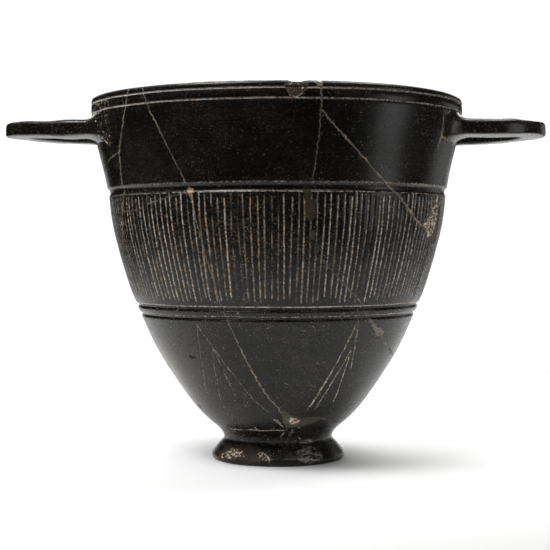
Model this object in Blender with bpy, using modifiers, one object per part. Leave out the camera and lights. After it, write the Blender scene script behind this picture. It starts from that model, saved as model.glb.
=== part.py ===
"""Two-handled black burnished drinking cup (skyphos), in metres, +Z up.

The cup is one piece of fired clay: a deep turned bowl on a flaring ring foot, with two flat
horizontal loop handles luted to the wall under the rim. Its turning axis is Z, the ring foot
stands on z = 0, the handles lie along X, and the side towards -Y is the front.
"""

import math
import random
from dataclasses import dataclass

import bmesh
import bpy

MM = 0.001

# Driving dimensions, in millimetres.
CUP_HEIGHT = 155.95
RIM_RADIUS = 80.5
RIM_ROUNDING = 1.2
WALL_AT_RIM = 3.8
WALL_AT_FLOOR = 6.0
THIN_WALL_HEIGHT = 70.0
LIP_CHAMFER = 0.8
FLOOR_HEIGHT = 14.5
FOOT_RADIUS = 29.1
STANDING_OUTER_RADIUS = 28.4
STANDING_INNER_RADIUS = 22.6
UNDERSIDE_RADIUS = 19.6
UNDERSIDE_RISE = 6.5
UNDERSIDE_FLAT_RADIUS = 12.0
NECK_RADIUS = 23.7
NECK_HEIGHT = 9.6

# The strap that both handles are made of, and how it changes along a loop.
STRAP_WIDTH = 11.2
STRAP_THICKNESS = 7.5
STRAP_CORNERS = 10
STRAP_SQUARENESS = 0.62
TIP_SIZE = 0.9
LIMB_SIZE = 1.1
ROOT_FLARE = 0.8
ROOT_FLARE_LENGTH = 4.0
HANDLE_ROOT = 74.0
HANDLE_TIP_LIFT = 1.1
HANDLE_BURIED_END = 10.0
HANDLE_TURNS = (90.0, 86.0, 80.0, 70.0, 56.0, 42.0, 28.0, 14.0)


@dataclass
class Loop:
    """Plan of one hand-set handle: its middle line seen from above, in millimetres."""

    name: str
    side: int
    reach: float
    bow: float
    splay: float
    roundness: float
    forward: float
    root_height: float


HANDLES = (
    Loop(
        "left_handle", side=-1, reach=117.6, bow=10.4, splay=9.7, roundness=2.9, forward=4.7,
        root_height=141.8,
    ),
    Loop(
        "right_handle", side=1, reach=116.1, bow=24.7, splay=-2.3, roundness=2.16, forward=4.4,
        root_height=141.4,
    ),
)

# Heights and radii that the smooth outer wall is drawn through, from the shoulder over the neck up.
BOWL_STATIONS = (
    (16.6, 30.0), (22.0, 35.3), (30.0, 41.3), (40.0, 47.9), (50.0, 53.6), (60.0, 58.2),
    (70.0, 62.4), (80.0, 66.0), (92.0, 69.5), (104.0, 72.1), (114.0, 73.3), (119.5, 74.2),
    (130.0, 76.5), (140.0, 78.9), (149.0, RIM_RADIUS), (154.0, RIM_RADIUS),
)

# Heights of the plain rows of the wall above, beside and below the bands.
ROWS_ABOVE_BANDS = (137.5, 128.5)
ROWS_BESIDE_BANDS = (119.8, 70.6)
ROWS_BELOW_BANDS = (55.0, 46.5, 38.0, 30.0, 22.5, 16.9)

# Heights and radii of the waist between bowl and foot, of the foot's edge, and of the surfaces
# that don't show from outside: the hollow under the foot and the floor of the bowl.
NECK_STATIONS = (
    (15.2, 28.0), (12.6, 25.2), (NECK_HEIGHT, NECK_RADIUS), (7.2, 25.1), (4.6, 27.4),
)
FOOT_STATIONS = ((2.6, 29.0), (1.4, FOOT_RADIUS), (0.0, STANDING_OUTER_RADIUS))
UNDERSIDE_STATIONS = (
    (0.0, STANDING_INNER_RADIUS), (1.6, 21.1), (5.0, UNDERSIDE_RADIUS),
    (UNDERSIDE_RISE, UNDERSIDE_FLAT_RADIUS), (UNDERSIDE_RISE, 0.0),
)
BOWL_FLOOR_STATIONS = ((17.4, 20.5), (15.1, 11.0), (FLOOR_HEIGHT, 0.0))

# Tooled lines around the wall: height, half width and depth of each shallow groove.
RIM_GROOVES = ((153.1, 0.4, 0.35), (149.1, 0.4, 0.35))
LOWER_BAND_GROOVES = ((67.4, 0.6, 0.35), (62.7, 0.8, 0.4))
UPPER_BAND_GROOVES = ((115.6, 1.1, 0.6),)
LOWER_BAND_RIDGES = ((68.9, 0.1), (65.2, 0.0), (63.7, 0.3))
UPPER_BAND_RIDGES = ((118.4, 0.15), (113.6, 0.1))

# Vertical lines cut into the wall between the two bands.
TURNED_FACETS = 43
LINES_PER_FACET = 4
LINE_TOP = 112.9
LINE_BOTTOM = 71.4
LINE_END_SPREAD = 1.6
LINE_WIDTH = 0.75
LINE_DEPTH = 0.45
LINE_CUTTER_PROUD = 0.5
LINE_SEED = 7
LINED_WALL_ROWS = (98.5, 84.5)

INNER_WALL_ROWS = (132.0, 112.0, 91.5, 72.0, 54.0, 38.0, 26.0)
CUT_CLEARANCE = 6.0

CLAY_COLOUR = (0.022, 0.021, 0.020)
CLAY_ROUGHNESS = 0.32


def smooth_radius(height):
    """Radius of the smooth outer wall at a height, on a cubic through the stations."""
    stations = BOWL_STATIONS
    last = len(stations) - 1
    low = max(i for i in range(last) if stations[i][0] <= height or i == 0)

    def slope(i):
        below, above = stations[max(i - 1, 0)], stations[min(i + 1, last)]
        return (above[1] - below[1]) / (above[0] - below[0])

    (z0, r0), (z1, r1) = stations[low], stations[low + 1]
    span = z1 - z0
    t = (height - z0) / span
    return (
        (2 * t**3 - 3 * t**2 + 1) * r0
        + (t**3 - 2 * t**2 + t) * span * slope(low)
        + (3 * t**2 - 2 * t**3) * r1
        + (t**3 - t**2) * span * slope(low + 1)
    )


def grooved(grooves):
    """Profile points of shallow V grooves, from the highest down."""
    points = []
    for height, half_width, depth in grooves:
        points += [
            (height + half_width, smooth_radius(height + half_width)),
            (height, smooth_radius(height) - depth),
            (height - half_width, smooth_radius(height - half_width)),
        ]
    return points


def ridged(ridges):
    """Profile points that stand a little proud of the smooth wall, from the highest down."""
    return [(height, smooth_radius(height) + proud) for height, proud in ridges]


def wall_rows(heights):
    """Plain profile points on the smooth wall."""
    return [(height, smooth_radius(height)) for height in heights]


def outer_wall():
    """Heights and radii down the outside of the cup, from the rim's edge to the standing ring."""
    rim = [
        (CUP_HEIGHT, RIM_RADIUS - RIM_ROUNDING),
        (CUP_HEIGHT - RIM_ROUNDING, RIM_RADIUS),
    ]
    bands = grooved(UPPER_BAND_GROOVES + LOWER_BAND_GROOVES)
    bands += ridged(UPPER_BAND_RIDGES + LOWER_BAND_RIDGES)
    plain = ROWS_ABOVE_BANDS + ROWS_BESIDE_BANDS + LINED_WALL_ROWS + ROWS_BELOW_BANDS
    wall = grooved(RIM_GROOVES) + bands + wall_rows(plain)
    return sorted(rim + wall + list(NECK_STATIONS) + list(FOOT_STATIONS), reverse=True)


def inner_wall():
    """Heights and radii down the inside, from just over the rim to the floor of the bowl."""
    rows = []
    for height in INNER_WALL_ROWS:
        steepness = smooth_radius(height + 0.5) - smooth_radius(height - 0.5)
        along = math.hypot(1.0, steepness)
        thinning = min(height / THIN_WALL_HEIGHT, 1.0)
        depth = WALL_AT_FLOOR + (WALL_AT_RIM - WALL_AT_FLOOR) * thinning
        rows.append((height + depth * steepness / along, smooth_radius(height) - depth / along))
    mouth = RIM_RADIUS - WALL_AT_RIM
    lip = [
        (CUP_HEIGHT + CUT_CLEARANCE, mouth + LIP_CHAMFER),
        (CUP_HEIGHT, mouth + LIP_CHAMFER),
        (CUP_HEIGHT - LIP_CHAMFER, mouth),
    ]
    return lip + rows + list(BOWL_FLOOR_STATIONS)


def new_material(name, colour, roughness):
    """A plain Principled material."""
    material = bpy.data.materials.new(name)
    material.use_nodes = True
    shader = material.node_tree.nodes["Principled BSDF"]
    shader.inputs["Base Color"].default_value = (*colour, 1.0)
    shader.inputs["Roughness"].default_value = roughness
    shader.inputs["Metallic"].default_value = 0.0
    return material


def new_object(name, mesh, collection):
    """Links a mesh into a collection under its own name."""
    made = bpy.data.objects.new(name, mesh)
    collection.objects.link(made)
    return made


def make_guide(obj):
    """Keeps a cutter or other helper out of the render."""
    obj.hide_render = True
    obj.display_type = "WIRE"


def turned(name, profile, collection):
    """A solid of revolution from (height, radius) points that run down its outer side."""
    mesh = bpy.data.meshes.new(name)
    points = [(radius * MM, 0.0, height * MM) for height, radius in profile]
    mesh.from_pydata(points, [(i, i + 1) for i in range(len(points) - 1)], [])
    made = new_object(name, mesh, collection)
    screw = made.modifiers.new("turning", "SCREW")
    screw.axis = "Z"
    screw.steps = screw.render_steps = TURNED_FACETS
    screw.use_merge_vertices = True
    screw.merge_threshold = 0.0001
    screw.use_smooth_shade = True
    return made


def rounded(turn, half_size):
    """A sine or cosine pushed out towards the corners of the strap's section, in metres."""
    return math.copysign(abs(turn) ** STRAP_SQUARENESS, turn) * half_size * MM


def strap_section(collection):
    """Cross-section of a handle: a flat strap with well rounded edges."""
    curve = bpy.data.curves.new("strap_section", "CURVE")
    curve.dimensions = "2D"
    spline = curve.splines.new("POLY")
    spline.points.add(STRAP_CORNERS - 1)
    spline.use_cyclic_u = True
    for i, point in enumerate(spline.points):
        angle = 2 * math.pi * (i + 0.5) / STRAP_CORNERS
        across = rounded(math.cos(angle), STRAP_WIDTH / 2)
        up = rounded(math.sin(angle), STRAP_THICKNESS / 2)
        point.co = (across, up, 0.0, 1.0)
    section = new_object("strap_section", curve, collection)
    make_guide(section)
    return section


def handle_route(loop):
    """Middle line of one loop and the strap's size there, from the front root to the back root.

    Each entry is x, y, height and size factor, with both ends run on into the solid bowl.
    """
    length = loop.reach - STRAP_WIDTH * TIP_SIZE / 2 - HANDLE_ROOT
    turns = [-turn for turn in HANDLE_TURNS] + [0.0] + list(reversed(HANDLE_TURNS))
    route = []
    for angle in map(math.radians, turns):
        outward = abs(math.cos(angle)) ** (2 / loop.roundness)
        spread = loop.bow * abs(math.sin(angle)) ** (2 / loop.roundness)
        spread += loop.splay * (1.0 - outward)
        along = length * outward
        size = LIMB_SIZE + (TIP_SIZE - LIMB_SIZE) * outward
        size += ROOT_FLARE * math.exp(-along / ROOT_FLARE_LENGTH)
        x = loop.side * (HANDLE_ROOT + along)
        y = math.copysign(spread, angle) - loop.forward
        route.append((x, y, loop.root_height + HANDLE_TIP_LIFT * outward, size))
    buried = loop.side * HANDLE_BURIED_END
    inside = [(x - buried, y, z, size) for x, y, z, size in (route[0], route[-1])]
    return [inside[0]] + route + [inside[1]]


def handle(name, route, section, collection):
    """One loop handle as a closed mesh: the strap's section swept along its route."""
    curve = bpy.data.curves.new(name + "_line", "CURVE")
    curve.dimensions = "3D"
    curve.twist_mode = "Z_UP"
    curve.bevel_mode = "OBJECT"
    curve.bevel_object = section
    curve.use_fill_caps = True
    spline = curve.splines.new("POLY")
    spline.points.add(len(route) - 1)
    for point, (x, y, z, size) in zip(spline.points, route):
        point.co = (x * MM, y * MM, z * MM, 1.0)
        point.radius = size
    line = new_object(name + "_line", curve, collection)
    graph = bpy.context.evaluated_depsgraph_get()
    mesh = bpy.data.meshes.new_from_object(line.evaluated_get(graph))
    shape = bmesh.new()
    shape.from_mesh(mesh)
    bmesh.ops.remove_doubles(shape, verts=shape.verts, dist=1e-6)
    bmesh.ops.recalc_face_normals(shape, faces=shape.faces)
    shape.to_mesh(mesh)
    shape.free()
    made = new_object(name, mesh, collection)
    made.matrix_world = line.matrix_world
    bpy.data.objects.remove(line)
    make_guide(made)
    return made


def line_cutter(profile, collection):
    """All the vertical lines as thin V-shaped wedges that lie along the facets of the wall."""
    rows = sorted(profile)
    facet = 2 * math.pi / TURNED_FACETS
    spread = random.Random(LINE_SEED)

    def facet_radius(height, angle):
        below = max(i for i in range(len(rows) - 1) if rows[i][0] <= height)
        (z0, r0), (z1, r1) = rows[below], rows[below + 1]
        radius = r0 + (r1 - r0) * (height - z0) / (z1 - z0)
        within = (angle % facet) - facet / 2
        return radius * math.cos(facet / 2) / math.cos(within)

    half_outside = LINE_WIDTH / 2 * (1 + LINE_CUTTER_PROUD / LINE_DEPTH)
    section = (
        (-LINE_DEPTH, 0.0),
        (LINE_CUTTER_PROUD, half_outside),
        (LINE_CUTTER_PROUD, -half_outside),
    )
    shape = bmesh.new()
    for i in range(TURNED_FACETS * LINES_PER_FACET):
        angle = facet * (i + 0.5) / LINES_PER_FACET
        top = LINE_TOP - spread.uniform(0.0, LINE_END_SPREAD)
        bottom = LINE_BOTTOM + spread.uniform(0.0, LINE_END_SPREAD)
        rings = []
        for height in (top, *LINED_WALL_ROWS, bottom):
            radius = facet_radius(height, angle)
            ring = []
            for outward, sideways in section:
                x = (radius + outward) * math.cos(angle) - sideways * math.sin(angle)
                y = (radius + outward) * math.sin(angle) + sideways * math.cos(angle)
                ring.append(shape.verts.new((x * MM, y * MM, height * MM)))
            rings.append(ring)
        for upper, lower in zip(rings, rings[1:]):
            for k in range(3):
                after = (k + 1) % 3
                shape.faces.new((upper[k], upper[after], lower[after], lower[k]))
        shape.faces.new(rings[0])
        shape.faces.new(rings[-1])
    bmesh.ops.recalc_face_normals(shape, faces=shape.faces)
    mesh = bpy.data.meshes.new("line_cutter")
    shape.to_mesh(mesh)
    shape.free()
    made = new_object("line_cutter", mesh, collection)
    make_guide(made)
    return made


def combine(body, other, operation):
    """Adds one Boolean step to the body."""
    step = body.modifiers.new(operation.lower() + "_" + other.name, "BOOLEAN")
    step.operation = operation
    step.solver = "EXACT"
    step.object = other


def new_collection(name):
    """A collection linked straight into the scene."""
    made = bpy.data.collections.new(name)
    bpy.context.scene.collection.children.link(made)
    return made


def main():
    for obj in list(bpy.data.objects):
        bpy.data.objects.remove(obj)
    cup_collection = new_collection("skyphos")
    helpers = new_collection("cutters")

    wall = outer_wall()
    section = [(CUP_HEIGHT, 0.0)] + wall + list(UNDERSIDE_STATIONS)
    cup = turned("skyphos", section, cup_collection)
    cup.data.materials.append(new_material("black_burnished_clay", CLAY_COLOUR, CLAY_ROUGHNESS))

    strap = strap_section(helpers)
    for loop in HANDLES:
        combine(cup, handle(loop.name, handle_route(loop), strap, helpers), "UNION")

    hollow_wall = inner_wall()
    hollow_profile = [(hollow_wall[0][0], 0.0)] + hollow_wall
    hollow = turned("hollow_cutter", hollow_profile, helpers)
    make_guide(hollow)
    combine(cup, hollow, "DIFFERENCE")
    combine(cup, line_cutter(wall, helpers), "DIFFERENCE")


main()
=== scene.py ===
"""Black burnished drinking cup with two loop handles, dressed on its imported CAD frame.

The cup is one fired piece. Its wall, with the tooled rings and the incised lines, is turned by a
Geometry Nodes tree from a row profile. The mended joins, fillings, rays and pits are then worked
into a locally refined mesh, and the two strap handles are swept loops that grow out of the wall.
Angles are measured from the front (-Y) towards +X, in degrees, and heights in millimetres.
"""

import logging
import math
from dataclasses import dataclass, field
from enum import Enum
from typing import Any, Optional, Sequence, Union

import bpy
import numpy as np
from mathutils import Matrix, Vector


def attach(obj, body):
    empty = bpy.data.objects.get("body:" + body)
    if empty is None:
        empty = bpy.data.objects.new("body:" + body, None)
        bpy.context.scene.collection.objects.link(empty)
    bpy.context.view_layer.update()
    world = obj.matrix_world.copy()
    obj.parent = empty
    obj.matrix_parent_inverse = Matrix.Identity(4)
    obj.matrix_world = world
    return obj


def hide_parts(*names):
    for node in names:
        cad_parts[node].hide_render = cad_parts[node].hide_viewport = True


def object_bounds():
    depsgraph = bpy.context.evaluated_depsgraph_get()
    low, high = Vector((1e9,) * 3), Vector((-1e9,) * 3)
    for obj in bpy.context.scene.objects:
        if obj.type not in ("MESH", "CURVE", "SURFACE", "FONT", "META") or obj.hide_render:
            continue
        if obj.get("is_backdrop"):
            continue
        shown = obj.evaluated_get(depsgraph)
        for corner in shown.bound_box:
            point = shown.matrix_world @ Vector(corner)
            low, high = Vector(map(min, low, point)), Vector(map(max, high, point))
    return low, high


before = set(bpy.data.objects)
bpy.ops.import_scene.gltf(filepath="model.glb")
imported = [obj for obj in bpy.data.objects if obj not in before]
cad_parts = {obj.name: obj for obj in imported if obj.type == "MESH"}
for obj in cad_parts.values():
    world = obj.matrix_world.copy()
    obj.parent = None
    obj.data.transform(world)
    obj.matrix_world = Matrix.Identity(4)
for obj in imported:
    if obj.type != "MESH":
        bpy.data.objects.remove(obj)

Array = np.ndarray
Knot = tuple[float, float]
Colour = tuple[float, float, float]
Operand = Union["Signal", float]

MM = 0.001
TO_MM = 1000.0
NODE = "skyphos"
BODY = "root"
LOG = logging.getLogger("skyphos")
MIDDLE_HEIGHT = 80.0
FAR = -50.0
RECORD_EDGE = 2.0
LINE_RECORDS = ("line_cut", "line_tone")
LOW_BAND = 66.0
HIGH_BAND = 114.0
WARM_MIDDLE = -18.0


class Tone(Enum):
    """Scene-linear colours that the finishes share."""

    # Black of the painted shade band.
    PAINTED_SHADE_BLACK = (0.007, 0.007, 0.007)
    SOOT = (0.0055, 0.0052, 0.0047)
    WARM_SOOT = (0.0120, 0.0108, 0.0090)
    DUST = (0.150, 0.135, 0.110)
    GREY_CRUST = (0.280, 0.255, 0.220)
    CREAM = (0.760, 0.660, 0.520)
    RUST = (0.560, 0.340, 0.160)
    GOLD = (0.850, 0.560, 0.290)
    PALE_CRUST = (0.400, 0.370, 0.320)
    # Grey of the painted highlight on the lip top and the foot.
    RUB_AND_HIGHLIGHT_GREY = (0.480, 0.460, 0.430)
    BROWN_WAX = (0.022, 0.012, 0.005)
    BRASSY_OLIVE = (0.053, 0.045, 0.023)
    OLIVE = (0.078, 0.070, 0.054)
    PALE_OLIVE = (0.135, 0.121, 0.099)
    PUTTY = (0.300, 0.255, 0.200)
    TAN = (0.600, 0.420, 0.230)
    # Painted warm reflection on the lower left of the wall.
    BLOOM = (0.045, 0.026, 0.014)
    CHALK = (0.800, 0.740, 0.670)
    PALE_FLOOR = (0.800, 0.800, 0.795)


class Signal:
    """A node socket that takes part in Python arithmetic, adding Math nodes as it goes."""

    def __init__(self, graph: "Graph", socket: bpy.types.NodeSocket) -> None:
        """Keeps the socket and the graph that it belongs to."""
        self.graph = graph
        self.socket = socket

    def math(self, operation: str, *others: Operand) -> "Signal":
        """Applies one Math node with this signal first.

        Args:
            operation: Name of the Math operation.
            others: The remaining operands, signals or numbers.

        Returns:
            The result as a new signal.
        """
        return self.graph.math(operation, self, *others)

    def __add__(self, other: Operand) -> "Signal":
        """Sum."""
        return self.math("ADD", other)

    __radd__ = __add__

    def __sub__(self, other: Operand) -> "Signal":
        """Difference."""
        return self.math("SUBTRACT", other)

    def __rsub__(self, other: Operand) -> "Signal":
        """Difference with the number first."""
        return self.graph.math("SUBTRACT", other, self)

    def __mul__(self, other: Operand) -> "Signal":
        """Product."""
        return self.math("MULTIPLY", other)

    __rmul__ = __mul__

    def __truediv__(self, other: Operand) -> "Signal":
        """Quotient."""
        return self.math("DIVIDE", other)

    def __rtruediv__(self, other: Operand) -> "Signal":
        """Quotient with the number first."""
        return self.graph.math("DIVIDE", other, self)

    def __abs__(self) -> "Signal":
        """Absolute value."""
        return self.math("ABSOLUTE")

    def __gt__(self, other: Operand) -> "Signal":
        """1 where this signal is greater, else 0."""
        return self.math("GREATER_THAN", other)

    def __lt__(self, other: Operand) -> "Signal":
        """1 where this signal is less, else 0."""
        return self.math("LESS_THAN", other)

    def __mod__(self, other: Operand) -> "Signal":
        """Remainder."""
        return self.math("MODULO", other)

    def floor(self) -> "Signal":
        """Largest whole number below."""
        return self.math("FLOOR")

    def clamped(self) -> "Signal":
        """The signal held between 0 and 1."""
        return self.math("MAXIMUM", 0.0).math("MINIMUM", 1.0)

    def most(self, other: Operand) -> "Signal":
        """The greater of two."""
        return self.math("MAXIMUM", other)

    def smooth(self, low: Operand, high: Operand) -> "Signal":
        """Smooth step from 0 at low to 1 at high."""
        sockets = {"Value": self, "From Min": low, "From Max": high, "To Min": 0.0, "To Max": 1.0}
        return self.graph.make("ShaderNodeMapRange", {"interpolation_type": "SMOOTHSTEP"}, sockets)

    def towards(self, other: Operand, share: Operand) -> "Signal":
        """Moves from this signal towards another by a share."""
        return self + (other - self) * share


class Graph:
    """One node tree under construction, for shaders and for geometry alike."""

    def __init__(self, tree: bpy.types.NodeTree) -> None:
        """Keeps the tree."""
        self.tree = tree

    def node(
        self,
        kind: str,
        settings: Optional[dict[str, Any]] = None,
        sockets: Optional[dict[Union[str, int], Any]] = None,
    ) -> bpy.types.Node:
        """Adds one node of any type.

        Args:
            kind: The node's type name.
            settings: Properties set before anything is linked; "stops" fills a colour ramp.
            sockets: Values or links by socket name or number.

        Returns:
            The new node.
        """
        made = self.tree.nodes.new(kind)
        for name, value in (settings or {}).items():
            if name == "stops":
                self._fill_ramp(made, value)
            else:
                setattr(made, name, value)
        for name, value in (sockets or {}).items():
            self.feed(self._socket(made.inputs, name), value)
        return made

    def make(
        self,
        kind: str,
        settings: Optional[dict[str, Any]] = None,
        sockets: Optional[dict[Union[str, int], Any]] = None,
        output: Union[str, int] = 0,
    ) -> Signal:
        """Adds a node and returns one of its outputs.

        Args:
            kind: The node's type name.
            settings: Properties of the node.
            sockets: Values or links of its inputs.
            output: Name or number of the output.

        Returns:
            The output as a signal.
        """
        made = self.node(kind, settings, sockets)
        return Signal(self, self._socket(made.outputs, output))

    @staticmethod
    def _socket(sockets: Any, name: Union[str, int]) -> bpy.types.NodeSocket:
        """Finds a socket by number, or the first enabled one by name."""
        if isinstance(name, int):
            return sockets[name]
        named = [socket for socket in sockets if socket.name == name]
        return next((socket for socket in named if socket.enabled), named[0])

    @staticmethod
    def _fill_ramp(made: bpy.types.Node, stops: Sequence[tuple[float, Colour]]) -> None:
        """Sets the stops of a colour ramp."""
        elements = made.color_ramp.elements
        while len(elements) < len(stops):
            elements.new(0.5)
        for element, (place, colour) in zip(elements, stops):
            element.position = place
            element.color = (*colour, 1.0)

    def feed(self, socket: bpy.types.NodeSocket, value: Any) -> None:
        """Links a signal to a socket, or sets the socket's own value."""
        if isinstance(value, Signal):
            self.tree.links.new(value.socket, socket)
        elif isinstance(value, Enum):
            socket.default_value = (*value.value, 1.0)
        else:
            socket.default_value = value

    def math(self, operation: str, *operands: Operand) -> Signal:
        """One Math node on up to three operands."""
        sockets = dict(enumerate(operands))
        return self.make("ShaderNodeMath", {"operation": operation}, sockets)

    def vector(self, x: Operand, y: Operand, z: Operand) -> Signal:
        """A vector from three parts."""
        return self.make("ShaderNodeCombineXYZ", None, {0: x, 1: y, 2: z})

    def parts(self, vector: Signal) -> tuple[Signal, Signal, Signal]:
        """The three parts of a vector or a colour."""
        made = self.node("ShaderNodeSeparateXYZ", None, {0: vector})
        return tuple(Signal(self, output) for output in made.outputs)

    def scaled(self, vector: Signal, factors: tuple[float, float, float]) -> Signal:
        """A vector multiplied part by part."""
        settings = {"operation": "MULTIPLY"}
        return self.make("ShaderNodeVectorMath", settings, {0: vector, 1: factors})

    def noise(self, vector: Signal, detail: float = 2.0, rough: float = 0.5) -> Signal:
        """Noise from 0 to 1 over coordinates that are already in units of its grain."""
        sockets = {"Vector": vector, "Scale": 1.0, "Detail": detail, "Roughness": rough}
        return self.make("ShaderNodeTexNoise", None, sockets)

    def blend(self, share: Operand, first: Any, second: Any) -> Signal:
        """Mixes two colours by a share."""
        sockets = {0: share, 6: first, 7: second}
        return self.make("ShaderNodeMix", {"data_type": "RGBA"}, sockets, output=2)

    def attribute(self, name: str) -> Signal:
        """A number stored on the mesh's points."""
        return self.make("ShaderNodeAttribute", {"attribute_name": name}, None, output="Fac")


@dataclass(frozen=True)
class Crust:
    """Pale deposit along one tooled ring, partly painted highlight on its edge: where it lies and how
    much of it is left.
    """

    height: float
    half_width: float
    left: float
    middle: float
    right: float


@dataclass(frozen=True)
class BurnishedClay:
    """Black clay with a soft burnished gloss, wheel streaks, dust specks, pale deposits and fillings,
    with painted reflection, shade and highlights.
    """

    name: str = "burnished_clay"
    gloss_roughness: float = 0.27
    ior: float = 1.38
    # Pale lines on the tooled rings: deposit, and painted highlight on the ring edges.
    crusts_and_highlights: tuple[Crust, ...] = (
        Crust(153.15, 0.46, 0.95, 1.25, 0.50),
        Crust(149.15, 0.44, 0.90, 0.70, 0.45),
        Crust(117.7, 0.45, 0.04, 0.08, 0.18),
        Crust(114.0, 0.28, 0.15, 0.50, 0.25),
        Crust(68.75, 0.30, 0.55, 0.90, 0.55),
        Crust(64.75, 0.30, 0.10, 0.20, 0.40),
    )

    def build(self) -> bpy.types.Material:
        """Makes the material.

        Returns:
            The finished material.
        """
        material = bpy.data.materials.new(self.name)
        material.use_nodes = True
        graph = Graph(material.node_tree)
        shader = material.node_tree.nodes["Principled BSDF"]
        place = graph.make("ShaderNodeTexCoord", None, None, output="Object")
        spot = graph.scaled(place, (TO_MM, TO_MM, TO_MM))

        mottle = graph.noise(graph.scaled(spot, (0.05, 0.05, 0.06)), 4.0)
        streak = graph.noise(graph.scaled(spot, (0.05, 0.05, 0.9)), 3.0, 0.6)
        grain = graph.noise(graph.scaled(spot, (0.9, 0.9, 1.4)), 4.0, 0.65)
        colour = graph.blend(mottle.smooth(0.40, 0.68), Tone.SOOT, Tone.WARM_SOOT)
        powder = graph.noise(graph.scaled(spot, (1.5, 1.5, 1.7)), 2.0, 0.7).smooth(0.50, 0.86)
        film = graph.noise(graph.scaled(spot, (0.09, 0.09, 0.14)), 3.0).smooth(0.38, 0.70)
        colour = graph.blend(powder * (film * 0.42 + 0.20), colour, Tone.DUST)
        x, _, level = graph.parts(spot)
        # Painted reflection: the lower left of the wall is made lighter and warmer.
        painted_reflection_left = (x * -1.0).smooth(8.0, 48.0) * (1.0 - level.smooth(42.0, 62.0))
        colour = graph.blend(painted_reflection_left * (mottle * 0.5 + 0.2), colour, Tone.BLOOM)
        # Painted shade: a darker band all round the wall between heights 60 and 94.
        painted_shade_band = level.smooth(60.0, 72.0) * (1.0 - level.smooth(84.0, 94.0))
        colour = graph.blend(painted_shade_band * 0.6, colour, Tone.PAINTED_SHADE_BLACK)
        rough = self.gloss_roughness + (streak - 0.5) * 0.09 + (grain - 0.5) * 0.16

        specks, speck_colour = self._specks(graph, spot, mottle)
        colour = graph.blend(specks, colour, speck_colour)
        # Deposit along the rings, partly painted highlight on the ring edges.
        crust, crust_and_highlight_colour = self._crusts_and_highlights(graph, spot, grain)
        colour = graph.blend(crust, colour, crust_and_highlight_colour)
        lines, line_colour = self._lines(graph, spot)
        colour = graph.blend(lines, colour, line_colour)
        incised, incised_colour = self._incised(graph, spot)
        colour = graph.blend(incised, colour, incised_colour)
        # Painted highlight on the lip top and the foot, partly rubbed wear, broken up by noise.
        rub_and_highlight_breakup = graph.noise(graph.scaled(spot, (0.35, 0.35, 1.4)), 3.0, 0.7).smooth(0.42, 0.60)
        rub_and_highlight_cover = graph.attribute("rub_and_highlight").smooth(1.4, 2.8) * rub_and_highlight_breakup
        colour = graph.blend(rub_and_highlight_cover * 0.60, colour, Tone.RUB_AND_HIGHLIGHT_GREY)
        filled, filled_colour = self._fillings(graph, spot, grain)
        colour = graph.blend(filled, colour, filled_colour)

        dull = specks.most(crust).most(lines).most(incised)
        rough = rough.towards(0.75, dull).towards(0.62, filled)
        height = streak * 0.010 + grain * 0.012 + dull * 0.02 + filled * grain * 0.12
        bump = graph.make(
            "ShaderNodeBump", None, {"Height": height, "Distance": MM, "Strength": 1.0}
        )
        graph.feed(shader.inputs["Base Color"], colour)
        graph.feed(shader.inputs["Roughness"], rough)
        graph.feed(shader.inputs["Normal"], bump)
        shader.inputs["IOR"].default_value = self.ior
        return material

    @staticmethod
    def _specks(graph: Graph, spot: Signal, mottle: Signal) -> tuple[Signal, Signal]:
        """Scattered dust specks in two sizes, thicker around the bands.

        Args:
            graph: The graph to add to.
            spot: Object coordinates in millimetres.
            mottle: Slow noise that gathers the specks in drifts.

        Returns:
            The specks' cover and their colour.
        """
        x, _, height = graph.parts(spot)
        near_low_band = 1.0 - (abs(height - LOW_BAND) / 7.0).clamped()
        near_high_band = 1.0 - (abs(height - HIGH_BAND) / 5.0).clamped()
        near_root = ((abs(x) - 58.0) / 12.0).clamped() * height.smooth(118.0, 128.0)
        warm_front = (1.0 - abs(x - WARM_MIDDLE) / 56.0).clamped()
        warm_front = (warm_front * (1.0 - abs(height - 92.0) / 24.0)).clamped()
        crowd = near_low_band * 0.40 + near_high_band * 0.22 + warm_front * 0.34
        crowd = crowd * graph.attribute("on_wall") + near_root * 0.22
        drift = graph.noise(graph.scaled(spot, (0.11, 0.11, 0.11)), 3.0).smooth(0.42, 0.72)
        drift = drift * (mottle * 0.6 + 0.7)
        cover: Optional[Signal] = None
        shade: Optional[Signal] = None
        for grain, size, share in ((0.50, 0.15, 0.14), (0.95, 0.24, 0.50), (1.50, 0.34, 0.80)):
            wobbly = graph.scaled(spot, (grain, grain, grain * 1.15))
            cell = graph.node("ShaderNodeTexVoronoi", None, {"Vector": wobbly, "Scale": 1.0})
            distance = Signal(graph, cell.outputs["Distance"])
            chance, tint, bulk = graph.parts(Signal(graph, cell.outputs["Color"]))
            kept = chance < (drift * 0.50 + crowd + 0.09) * share
            strength = bulk * bulk * bulk * 0.80 + 0.14
            layer = (1.0 - distance.smooth(size * 0.6, size)) * kept * strength
            cover = layer if cover is None else cover.most(layer)
            shade = tint if shade is None else shade
        stops = [
            (0.0, Tone.GREY_CRUST.value),
            (0.55, (0.52, 0.46, 0.36)),
            (0.80, Tone.CREAM.value),
            (0.94, Tone.RUST.value),
        ]
        colour = graph.make("ShaderNodeValToRGB", {"stops": stops}, {"Fac": shade})
        colour = graph.blend(warm_front * 0.9, colour, Tone.GOLD)
        quiet = height.smooth(116.0, 122.0) * (1.0 - x.smooth(-5.0, 25.0))
        return cover * (0.9 - quiet * 0.30), colour

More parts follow.
